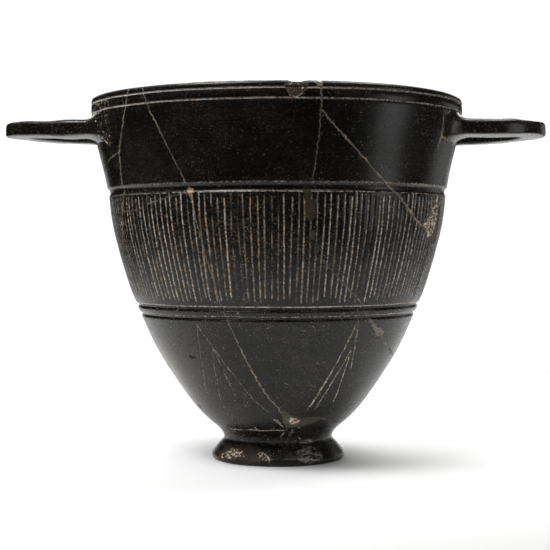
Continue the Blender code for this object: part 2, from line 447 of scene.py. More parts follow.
    def _crusts_and_highlights(self, graph: Graph, spot: Signal, grain: Signal) -> tuple[Signal, Signal]:
        """Pale deposit along the tooled rings, partly painted highlight on the ring edges.

        Args:
            graph: The graph to add to.
            spot: Object coordinates in millimetres.
            grain: Fine noise that breaks the crust up.

        Returns:
            The cover of the deposit and painted highlight, and its colour.
        """
        x, _, height = graph.parts(spot)
        broken = graph.noise(graph.scaled(spot, (0.75, 0.75, 0.9)), 4.0, 0.7)
        sway = (graph.noise(graph.scaled(spot, (0.04, 0.04, 0.01)), 1.0) - 0.5) * 0.5
        side = (x / 60.0).math("MINIMUM", 1.0).most(-1.0)
        cover: Optional[Signal] = None
        for ring in self.crusts_and_highlights:
            reach = (1.0 - abs(height + sway - ring.height) / ring.half_width).clamped()
            to_right = side.most(0.0) * (ring.right - ring.middle)
            to_left = (side * -1.0).most(0.0) * (ring.left - ring.middle)
            amount = to_right + to_left + ring.middle
            layer = reach.smooth(0.0, 0.7) * (amount - (broken - 0.5) * 4.4).clamped()
            cover = layer if cover is None else cover.most(layer)
        warm = graph.noise(graph.scaled(spot, (0.16, 0.16, 0.16)), 2.0).smooth(0.5, 0.68)
        warm = warm * (1.0 - height.smooth(150.0, 152.0) * 0.8)
        pale = graph.blend(grain.smooth(0.32, 0.6), Tone.GREY_CRUST, Tone.CHALK)
        return cover * graph.attribute("on_wall"), graph.blend(warm * 0.7, pale, Tone.RUST)

    @staticmethod
    def _lines(graph: Graph, spot: Signal) -> tuple[Signal, Signal]:
        """Crust held in the incised lines, warm towards the left of the front.

        Args:
            graph: The graph to add to.
            spot: Object coordinates in millimetres.

        Returns:
            The crust's cover and its colour.
        """
        x, _, _ = graph.parts(spot)
        cut = graph.attribute("line_cut")
        tone = graph.attribute("line_tone")
        along = graph.noise(graph.scaled(spot, (0.5, 0.5, 0.11)), 4.0, 0.65)
        crumbs = graph.noise(graph.scaled(spot, (1.4, 1.4, 1.1)), 3.0, 0.7)
        kept = (tone * 0.95 + 0.24 - (along - 0.5) * 3.4).clamped()
        kept = kept * (crumbs.smooth(0.36, 0.58) * 0.82 + 0.18)
        cover = (cut + (crumbs - 0.5) * 0.16).smooth(0.04, 0.12) * kept
        warm_zone = (1.0 - abs(x - WARM_MIDDLE) / 66.0).clamped()
        warm = graph.noise(graph.scaled(spot, (0.6, 0.6, 0.35)), 3.0).smooth(0.46, 0.56)
        bright = crumbs.smooth(0.44, 0.58) * (tone * 0.8 + 0.2)
        colour = graph.blend(bright, Tone.PALE_CRUST, Tone.CHALK)
        ember = graph.blend(crumbs.smooth(0.44, 0.60), Tone.RUST, Tone.GOLD)
        colour = graph.blend(warm * warm_zone, colour, ember)
        return cover, colour

    @staticmethod
    def _incised(graph: Graph, spot: Signal) -> tuple[Signal, Signal]:
        """Pale crust in the incised rays and scratches.

        Args:
            graph: The graph to add to.
            spot: Object coordinates in millimetres.

        Returns:
            The crust's cover and its colour.
        """
        depth = graph.attribute("incised")
        broken = graph.noise(graph.scaled(spot, (0.28, 0.28, 0.28)), 3.0, 0.6)
        cover = depth.smooth(1.93, 2.10) * (1.25 - broken.smooth(0.38, 0.68) * 1.1).clamped()
        crumbs = graph.noise(graph.scaled(spot, (1.1, 1.1, 1.1)), 3.0, 0.7)
        tone = graph.attribute("incised_tone")
        lumps = crumbs.smooth(0.42, 0.56)
        cover = cover * (lumps * 0.80 + tone * 0.60 - 0.10).clamped()
        colour = graph.blend(lumps, Tone.GREY_CRUST, Tone.CREAM)
        return cover * tone, colour

    @staticmethod
    def _fillings(graph: Graph, spot: Signal, grain: Signal) -> tuple[Signal, Signal]:
        """Filler in the mended joins and losses, with the cream patches worn through it.

        Args:
            graph: The graph to add to.
            spot: Object coordinates in millimetres.
            grain: Fine noise that roughens every edge.

        Returns:
            The filler's cover and its colour.
        """
        fray = (graph.noise(graph.scaled(spot, (1.3, 1.3, 1.3)), 3.0, 0.6) - 0.5) * 0.5
        cover = (graph.attribute("filler") + fray).smooth(1.95, 2.12)
        stops = [
            (0.0, Tone.BROWN_WAX.value),
            (0.25, Tone.BRASSY_OLIVE.value),
            (0.5, Tone.OLIVE.value),
            (0.7, Tone.PALE_OLIVE.value),
            (0.86, Tone.PUTTY.value),
            (1.0, Tone.TAN.value),
        ]
        cloud = graph.noise(graph.scaled(spot, (0.42, 0.42, 0.42)), 3.0, 0.6)
        tone = graph.attribute("filler_tone") + (grain - 0.5) * 0.8 + (cloud - 0.5) * 0.6
        tone = tone.clamped()
        colour = graph.make("ShaderNodeValToRGB", {"stops": stops}, {"Fac": tone})
        worn = (graph.attribute("cream") + fray * 1.6).smooth(1.9, 2.2)
        colour = graph.blend(worn, colour, Tone.CREAM)
        crumb = graph.noise(graph.scaled(spot, (0.80, 0.80, 0.80)), 3.0, 0.7)
        strewn = graph.attribute("grains").smooth(1.8, 2.4)
        strewn = (crumb + graph.attribute("grains_tone") * 0.3).smooth(0.64, 0.71) * strewn
        pale = graph.blend(cloud.smooth(0.50, 0.60) * 0.6, Tone.CREAM, Tone.GOLD)
        colour = graph.blend(strewn, colour, pale)
        return cover.most(worn).most(strewn), colour


@dataclass(frozen=True)
class PaleFloor:
    """Plain matt white table top."""

    name: str = "pale_floor"
    roughness: float = 0.9

    def build(self) -> bpy.types.Material:
        """Makes the material."""
        material = bpy.data.materials.new(self.name)
        material.use_nodes = True
        shader = material.node_tree.nodes["Principled BSDF"]
        shader.inputs["Base Color"].default_value = (*Tone.PALE_FLOOR.value, 1.0)
        shader.inputs["Roughness"].default_value = self.roughness
        shader.inputs["Specular IOR Level"].default_value = 0.0
        return material


class Profile:
    """A smooth radius over height, drawn through measured stations."""

    def __init__(self, stations: Sequence[Knot]) -> None:
        """Sorts the stations, given as height and radius, from the lowest up."""
        ordered = sorted(stations)
        self.heights = np.array([height for height, _ in ordered])
        self.radii = np.array([radius for _, radius in ordered])
        steps = np.diff(self.heights)
        rises = np.diff(self.radii) / steps
        slopes = np.zeros(len(ordered))
        slopes[0], slopes[-1] = rises[0], rises[-1]
        for i in range(1, len(ordered) - 1):
            if rises[i - 1] * rises[i] > 0:
                first = 2 * steps[i] + steps[i - 1]
                second = steps[i] + 2 * steps[i - 1]
                slopes[i] = (first + second) / (first / rises[i - 1] + second / rises[i])
        self.slopes = slopes

    def radius(self, height: Array) -> Array:
        """Radius at one or more heights.

        Args:
            height: Heights in millimetres.

        Returns:
            Radii in millimetres, on a cubic that doesn't overshoot between stations.
        """
        height = np.clip(np.asarray(height, float), self.heights[0], self.heights[-1])
        low = np.clip(np.searchsorted(self.heights, height) - 1, 0, len(self.heights) - 2)
        span = self.heights[low + 1] - self.heights[low]
        t = (height - self.heights[low]) / span
        return (
            (2 * t**3 - 3 * t**2 + 1) * self.radii[low]
            + (t**3 - 2 * t**2 + t) * span * self.slopes[low]
            + (3 * t**2 - 2 * t**3) * self.radii[low + 1]
            + (t**3 - t**2) * span * self.slopes[low + 1]
        )

    def rows(self, longest: float) -> list[Knot]:
        """Heights and radii from the top down, with long stretches split up.

        Args:
            longest: The longest step in height that stays whole.

        Returns:
            Height and radius pairs.
        """
        heights: list[float] = []
        for low, high in zip(self.heights[:-1], self.heights[1:]):
            pieces = max(1, math.ceil((high - low) / longest - 1e-6))
            heights += [float(low + (high - low) * i / pieces) for i in range(pieces)]
        heights.append(float(self.heights[-1]))
        heights.reverse()
        return [(height, float(self.radius(np.array(height)))) for height in heights]


# Height and radius down the outer wall. On the plain stretches the radii repeat an outline that a
# separate program solved from the photograph; grooves, bands and edges are shaped by hand.
OUTER_STATIONS: tuple[Knot, ...] = (
    (154.4, 80.46), (153.7, 80.52), (153.4, 80.34), (153.15, 80.17), (152.9, 80.34),
    (152.6, 80.52), (151.0, 80.54), (149.7, 80.52), (149.4, 80.34), (149.15, 80.17),
    (148.9, 80.32), (148.5, 80.44), (146.5, 80.18), (142.5, 79.42), (137.5, 78.37),
    (132.5, 77.15), (127.5, 75.94), (122.5, 74.82), (119.6, 74.27), (118.3, 74.06),
    (117.8, 73.95), (117.35, 73.62), (116.9, 73.16), (116.3, 72.88), (115.4, 72.72),
    (114.85, 72.76), (114.45, 72.98), (114.1, 73.20), (113.75, 73.26), (113.35, 73.18),
    (112.9, 73.13), (112.4, 73.10), (111.9, 73.06), (111.3, 73.02), (110.4, 72.94),
    (106.0, 72.42), (101.5, 71.72), (97.0, 70.74), (92.5, 69.58), (88.0, 68.44),
    (83.5, 67.06), (79.5, 65.86), (76.0, 64.72), (74.4, 64.16), (73.6, 63.87),
    (72.9, 63.61), (72.3, 63.37), (71.7, 63.13), (71.0, 62.84), (70.1, 62.46),
    (69.4, 62.16), (69.0, 61.98), (68.75, 61.78), (68.45, 61.36), (68.1, 60.92),
    (67.7, 60.62), (67.35, 60.62), (67.05, 60.86), (66.75, 61.04), (66.4, 61.00),
    (65.9, 60.78), (65.3, 60.50), (64.95, 60.32), (64.72, 60.06), (64.4, 59.64),
    (64.0, 59.26), (63.6, 59.10), (63.3, 59.22), (63.0, 59.42), (62.6, 59.40),
    (62.0, 59.12), (60.3, 58.38), (57.0, 56.95), (53.3, 55.30), (49.5, 53.45),
    (45.5, 51.28), (41.5, 48.90), (37.6, 46.35), (33.6, 43.80), (29.7, 41.07),
    (26.2, 38.60), (23.1, 36.20), (20.4, 33.80), (18.2, 31.60), (16.6, 29.85),
    (15.3, 28.20), (14.0, 26.60), (12.6, 25.25), (11.2, 24.30), (10.0, 23.80),
    (9.2, 23.70), (8.5, 23.95), (7.8, 24.55), (7.0, 25.30), (6.0, 26.25),
    (4.9, 27.15), (3.9, 27.98), (3.1, 28.62), (2.4, 29.02), (1.7, 29.12),
    (1.0, 28.98), (0.45, 28.72), (0.0, 28.30),
)
LIP_ROWS: tuple[Knot, ...] = (
    (154.9, 76.84), (155.45, 77.16), (155.80, 77.70), (155.95, 78.35), (155.92, 79.02),
    (155.70, 79.62), (155.35, 80.06), (154.90, 80.34),
)
UNDERSIDE_ROWS: tuple[Knot, ...] = (
    (0.0, 22.9), (0.35, 22.3), (1.3, 21.3), (2.8, 20.5), (4.4, 19.8), (5.4, 18.6),
    (6.0, 16.4), (6.3, 13.0), (6.45, 9.0), (6.5, 5.0), (6.5, 2.0), (6.5, 0.0),
)
FLOOR_ROWS: tuple[Knot, ...] = (
    (14.5, 0.0), (14.5, 2.5), (14.55, 5.5), (14.75, 8.5), (15.1, 11.2), (15.7, 14.2),
    (16.5, 17.2), (17.6, 20.2), (19.4, 23.2), (22.0, 26.2), (25.3, 29.4),
)
SMOOTH_STATIONS: tuple[Knot, ...] = (
    (12.0, 25.0), (16.6, 30.0), (22.0, 35.3), (30.0, 41.3), (40.0, 47.9), (50.0, 53.6),
    (60.0, 58.2), (70.0, 62.4), (80.0, 66.0), (92.0, 69.5), (104.0, 72.1), (114.0, 73.3),
    (119.5, 74.2), (130.0, 76.5), (140.0, 78.9), (149.0, 80.5), (154.0, 80.5),
)


class Incision:
    """Geometry Nodes tree that turns a row profile and cuts the upright lines into it."""

    SIZES: dict[str, tuple[str, Any]] = {
        "Line count": ("NodeSocketInt", 172),
        "Columns per line": ("NodeSocketInt", 4),
        "Line width": ("NodeSocketFloat", 0.86 * MM),
        "Line depth": ("NodeSocketFloat", 0.38 * MM),
        "Line top": ("NodeSocketFloat", 112.6 * MM),
        "Line bottom": ("NodeSocketFloat", 71.7 * MM),
        "End spread": ("NodeSocketFloat", 1.5 * MM),
        "Lean": ("NodeSocketFloat", 0.55 * MM),
        "Waver": ("NodeSocketFloat", 0.55 * MM),
        "Seed": ("NodeSocketInt", 11),
        "Clay": ("NodeSocketMaterial", None),
    }

    def __init__(self) -> None:
        """Builds the tree once; every shell of the cup uses it with its own sizes."""
        self.tree = bpy.data.node_groups.new("turned_and_incised", "GeometryNodeTree")
        interface = self.tree.interface
        interface.new_socket("Geometry", in_out="INPUT", socket_type="NodeSocketGeometry")
        self.identifiers: dict[str, str] = {}
        for name, (kind, value) in self.SIZES.items():
            item = interface.new_socket(name, in_out="INPUT", socket_type=kind)
            if value is not None:
                item.default_value = value
            self.identifiers[name] = item.identifier
        interface.new_socket("Geometry", in_out="OUTPUT", socket_type="NodeSocketGeometry")
        self._wire(Graph(self.tree))

    def _wire(self, graph: Graph) -> None:
        """Adds the nodes.

        Args:
            graph: The empty graph of the tree.
        """
        given = graph.node("NodeGroupInput")
        size = {name: Signal(graph, given.outputs[name]) for name in self.SIZES}
        profile = Signal(graph, given.outputs["Geometry"])
        count = size["Line count"]
        per_line = size["Columns per line"]
        rows = graph.make("GeometryNodeAttributeDomainSize", None, {"Geometry": profile})
        columns = count * per_line + 1.0
        sheet = graph.make(
            "GeometryNodeMeshGrid", None, {"Vertices X": rows, "Vertices Y": columns}
        )
        index = graph.make("GeometryNodeInputIndex")
        row = ((index + 0.5) / columns).floor()
        column = index - row * columns
        line = ((column + 0.5) / per_line).floor()
        sub = column - line * per_line

        place = graph.make("GeometryNodeInputPosition")
        station = graph.make(
            "GeometryNodeSampleIndex",
            {"data_type": "FLOAT_VECTOR", "domain": "POINT"},
            {"Geometry": profile, "Value": place, "Index": row},
        )
        radius, _, height = graph.parts(station)
        pitch = math.tau / count
        half = size["Line width"] * 0.5 / radius.most(MM)
        on_right = (sub > 0.5) * (sub < 1.5)
        on_land = (sub > 1.5) * (sub < 2.5)
        on_left = sub > 2.5
        within = on_right * half + on_land * pitch * 0.5 + on_left * (pitch - half)
        share = on_land * 0.5 + on_left

        own = line % count
        following = (line + 1.0) % count
        zone = self._between(height, size["Line bottom"], size["Line top"], 4.0 * MM)
        drift = self._drift(graph, size, own, height)
        drift = drift.towards(self._drift(graph, size, following, height), share)
        cut = self._cut(graph, size, own, height)
        depth = cut * size["Line depth"] * (sub < 0.5)
        angle = line * pitch + within + drift * zone / radius.most(MM)
        reach = radius - depth
        sine, cosine = angle.math("SINE"), angle.math("COSINE")
        position = graph.vector(reach * sine, reach * cosine * -1.0, height)

        shaped = graph.make(
            "GeometryNodeSetPosition", None, {"Geometry": sheet, "Position": position}
        )
        tone = self._chance(graph, size, own, 4, 0.0, 1.0)
        tone = tone.towards(self._chance(graph, size, following, 4, 0.0, 1.0), share)
        for name, value in zip(LINE_RECORDS, (depth * TO_MM, tone)):
            shaped = graph.make(
                "GeometryNodeStoreNamedAttribute",
                {"data_type": "FLOAT", "domain": "POINT"},
                {"Geometry": shaped, "Name": name, "Value": value},
            )
        merged = graph.make(
            "GeometryNodeMergeByDistance", None, {"Geometry": shaped, "Distance": 0.004 * MM}
        )
        whole = graph.make("GeometryNodeRealizeInstances", None, {"Geometry": merged})
        dressed = graph.make(
            "GeometryNodeSetMaterial", None, {"Geometry": whole, "Material": size["Clay"]}
        )
        graph.node("NodeGroupOutput", None, {"Geometry": dressed})

    @staticmethod
    def _between(height: Signal, low: Operand, high: Operand, soft: float) -> Signal:
        """1 between two heights, fading to 0 over a soft margin outside them."""
        return height.smooth(low - soft, low) * (1.0 - height.smooth(high, high + soft))

    @staticmethod
    def _chance(
        graph: Graph, size: dict[str, Signal], line: Signal, salt: int, low: float, high: float
    ) -> Signal:
        """A random number that belongs to one line.

        Args:
            graph: The graph to add to.
            size: The tree's named inputs.
            line: The line's number.
            salt: Tells the different uses apart.
            low: Least value.
            high: Greatest value.

        Returns:
            The random number.
        """
        sockets = {2: low, 3: high, "ID": line, "Seed": size["Seed"] + float(salt)}
        return graph.make("FunctionNodeRandomValue", {"data_type": "FLOAT"}, sockets, output=1)

    def _drift(
        self, graph: Graph, size: dict[str, Signal], line: Signal, height: Signal
    ) -> Signal:
        """How far a hand-cut line strays sideways at a height.

        Args:
            graph: The graph to add to.
            size: The tree's named inputs.
            line: The line's number.
            height: Height in metres.

        Returns:
            Sideways shift in metres.
        """
        middle = (size["Line top"] + size["Line bottom"]) * 0.5
        span = size["Line top"] - size["Line bottom"]
        lean = self._chance(graph, size, line, 1, -1.0, 1.0) * size["Lean"]
        offset = self._chance(graph, size, line, 2, -0.5, 0.5) * size["Lean"]
        where = graph.vector(line * 7.31, height * 110.0, size["Seed"] * 3.7)
        waver = (graph.noise(where, 1.0) - 0.5) * size["Waver"]
        return lean * (height - middle) / span + offset + waver

    def _cut(self, graph: Graph, size: dict[str, Signal], line: Signal, height: Signal) -> Signal:
        """How deep a line is at a height, from 0 beyond its ends to about 1.

        Args:
            graph: The graph to add to.
            size: The tree's named inputs.
            line: The line's number.
            height: Height in metres.

        Returns:
            The share of the full depth.
        """
        spread = size["End spread"]
        top = size["Line top"] + self._chance(graph, size, line, 5, -1.0, 0.7) * spread
        bottom = size["Line bottom"] + self._chance(graph, size, line, 6, -0.7, 1.0) * spread
        strength = self._chance(graph, size, line, 7, 0.45, 1.15)
        where = graph.vector(line * 3.17, height * 160.0, size["Seed"] * 1.9)
        pressure = graph.noise(where, 2.0).smooth(0.1, 0.7)
        return self._between(height, bottom, top, 0.8 * MM) * strength * (pressure * 0.6 + 0.4)

    def shell(self, name: str, rows: Sequence[Knot], sizes: dict[str, Any]) -> "Shell":
        """Turns one profile into a mesh.

        Args:
            name: Name of the shell.
            rows: Height and radius pairs in millimetres, in order along the profile.
            sizes: Named inputs that differ from the tree's defaults.

        Returns:
            The shell's points, faces and attributes.
        """
        mesh = bpy.data.meshes.new(name)
        points = [(radius * MM, 0.0, height * MM) for height, radius in rows]
        mesh.from_pydata(points, [(i, i + 1) for i in range(len(points) - 1)], [])
        obj = bpy.data.objects.new(name, mesh)
        bpy.context.scene.collection.objects.link(obj)
        modifier = obj.modifiers.new("incision", "NODES")
        modifier.node_group = self.tree
        for key, value in sizes.items():
            modifier[self.identifiers[key]] = value
        graph = bpy.context.evaluated_depsgraph_get()
        made = bpy.data.meshes.new_from_object(obj.evaluated_get(graph))
        obj.modifiers.remove(modifier)
        bpy.data.objects.remove(obj)
        bpy.data.meshes.remove(mesh)
        shell = Shell.from_mesh(made)
        bpy.data.meshes.remove(made)
        return shell


@dataclass
class Shell:
    """An open turned surface as plain arrays, in millimetres."""

    points: Array
    faces: list[tuple[int, ...]]
    values: dict[str, Array]

    @classmethod
    def from_mesh(cls, mesh: bpy.types.Mesh) -> "Shell":
        """Reads points, faces and the line attributes of a mesh."""
        points = np.empty(len(mesh.vertices) * 3, np.float32)
        mesh.vertices.foreach_get("co", points)
        faces = [tuple(polygon.vertices) for polygon in mesh.polygons]
        values = {}
        for name in LINE_RECORDS:
            values[name] = np.empty(len(mesh.vertices), np.float32)
            mesh.attributes[name].data.foreach_get("value", values[name])
        return cls(points.reshape(-1, 3).astype(float) / MM, faces, values)

    def rim(self, top: bool) -> Array:
        """Indices of one open edge ring, in order of angle.

        Args:
            top: Whether the ring in the cup's upper half is wanted.

        Returns:
            Point indices around the ring.
        """
        used: dict[tuple[int, int], int] = {}
        for face in self.faces:
            for a, b in zip(face, face[1:] + face[:1]):
                edge = (a, b) if a < b else (b, a)
                used[edge] = used.get(edge, 0) + 1
        loose = np.unique([end for edge, count in used.items() if count == 1 for end in edge])
        wanted = loose[(self.points[loose, 2] > MIDDLE_HEIGHT) == top]
        turn = np.arctan2(self.points[wanted, 0], -self.points[wanted, 1]) % math.tau
        turn[turn > math.tau - 1e-4] = 0.0
        return wanted[np.argsort(turn)]


def swell(points: Array, length: float, seed: int, waves: int = 9) -> Array:
    """Smooth uneven relief made of plane waves in random directions.

    Args:
        points: Places in millimetres.
        length: Typical distance from crest to crest.
        seed: Seed of the random directions.
        waves: Number of waves.

    Returns:
        Relief of about -1 to 1 at each place.
    """
    spread = np.random.default_rng(seed)
    total = np.zeros(len(points))
    for _ in range(waves):
        way = spread.normal(size=3)
        way *= math.tau / (length * spread.uniform(0.7, 1.6)) / np.linalg.norm(way)
        total += np.sin(points @ way + spread.uniform(0.0, math.tau))
    return total / math.sqrt(waves)


def ease(value: Array, low: float, high: float) -> Array:
    """Smooth step from 0 at low to 1 at high."""
    share = np.clip((value - low) / (high - low), 0.0, 1.0)
    return share * share * (3.0 - 2.0 * share)


class Trace(Enum):
    """What a mark is made of; the value names its record on the mesh."""

    FILL = "filler"
    CREAM = "cream"
    CUT = "incised"
    # Pale patches that are painted highlight, partly rubbed wear.
    RUB_AND_HIGHLIGHT = "rub_and_highlight"
    DENT = "dent"
    GRAINS = "grains"

    @property
    def sharp(self) -> bool:
        """Whether the mark has a crisp edge that the mesh must follow."""
        return self not in (Trace.RUB_AND_HIGHLIGHT, Trace.GRAINS)


@dataclass(frozen=True)
class Mark:
    """A line or a closed patch on the unrolled wall.

    Points are angle, height and, on a line, width; heights above the lip's outer edge run on over
    the lip and down inside. Tone is the place on the filler's colour ramp or the strength of a
    crust, depth how far the surface lies back, and bite how far the lip is worn down.
    """

    trace: Trace
    points: tuple[tuple[float, ...], ...]
    tone: float = 0.5
    depth: float = 0.14
    bite: float = 0.0
    margin: float = 5.0

    @property
    def closed(self) -> bool:
        """Whether the mark is a patch."""
        return len(self.points[0]) == 2

    def near(self, angle: Array, course: Array, radius: Array) -> Array:
        """Indices of the places that lie close enough to be worth measuring."""
        corners = np.array([point[:2] for point in self.points])
        reach = np.degrees(self.margin / np.maximum(radius, 5.0))
        within = (angle > corners[:, 0].min() - reach) & (angle < corners[:, 0].max() + reach)
        within &= course > corners[:, 1].min() - self.margin
        within &= course < corners[:, 1].max() + self.margin
        return np.flatnonzero(within)

    def inside(self, angle: Array, course: Array, radius: Array) -> Array:
        """Signed distance into the mark.

        Args:
            angle: Angles from the front in degrees.
            course: Heights along the unrolled section in millimetres.
            radius: Distances from the axis in millimetres.

        Returns:
            Millimetres inside the edge, negative outside it.
        """
        scale = np.radians(1.0) * radius
        points = self.points + (self.points[:1] if self.closed else ())
        best = np.full(len(angle), np.inf)
        crossings = np.zeros(len(angle), int)
        for start, end in zip(points, points[1:]):
            along_x, along_y = (end[0] - start[0]) * scale, end[1] - start[1]
            from_x, from_y = (angle - start[0]) * scale, course - start[1]
            length = np.maximum(along_x**2 + along_y**2, 1e-9)
            share = np.clip((from_x * along_x + from_y * along_y) / length, 0.0, 1.0)
            gap = np.hypot(from_x - share * along_x, from_y - share * along_y)
            if self.closed:
                best = np.minimum(best, gap)
                straddles = (start[1] > course) != (end[1] > course)
                rise = along_y if along_y else 1e-9
                crosses = start[0] + (course - start[1]) / rise * (end[0] - start[0]) > angle
                crossings += straddles & crosses
            else:
                best = np.minimum(best, gap - (start[2] + (end[2] - start[2]) * share) / 2)
        if self.closed:
            return np.where(crossings % 2 == 1, best, -best)
        return -best

    def recess(self, inside: Array) -> Array:
        """How far the surface lies back at a signed distance into the mark."""
        if self.trace is Trace.CUT:
            return self.depth * np.clip(inside / 0.2 + 0.15, 0.0, 1.0)
        return self.depth * ease(inside, -0.12, 0.22)


def oval(angle: float, height: float, half_angle: float, half_height: float) -> tuple[Knot, ...]:
    """Corners of an oval patch."""
    turns = [math.tau * i / 14 for i in range(14)]
    return tuple(
        (angle + half_angle * math.cos(turn), height + half_height * math.sin(turn))
        for turn in turns
    )


def grains(tone: float, *points: tuple[float, ...]) -> Mark:
    """A field strewn with pale grains; tone tells how densely."""
    return Mark(Trace.GRAINS, points, tone, 0.0)


def fill(tone: float, *points: tuple[float, ...], depth: float = 0.14, bite: float = 0.0) -> Mark:
    """A filled join or loss."""
    return Mark(Trace.FILL, points, tone, depth, bite)


def cream(*points: tuple[float, ...]) -> Mark:
    """Pale plaster that shows through."""
    return Mark(Trace.CREAM, points, 1.0, -0.06)


def cut(tone: float, width: float, *points: Knot) -> Mark:
    """An incised line of even width."""
    return Mark(Trace.CUT, tuple((*point, width) for point in points), tone, 0.22)


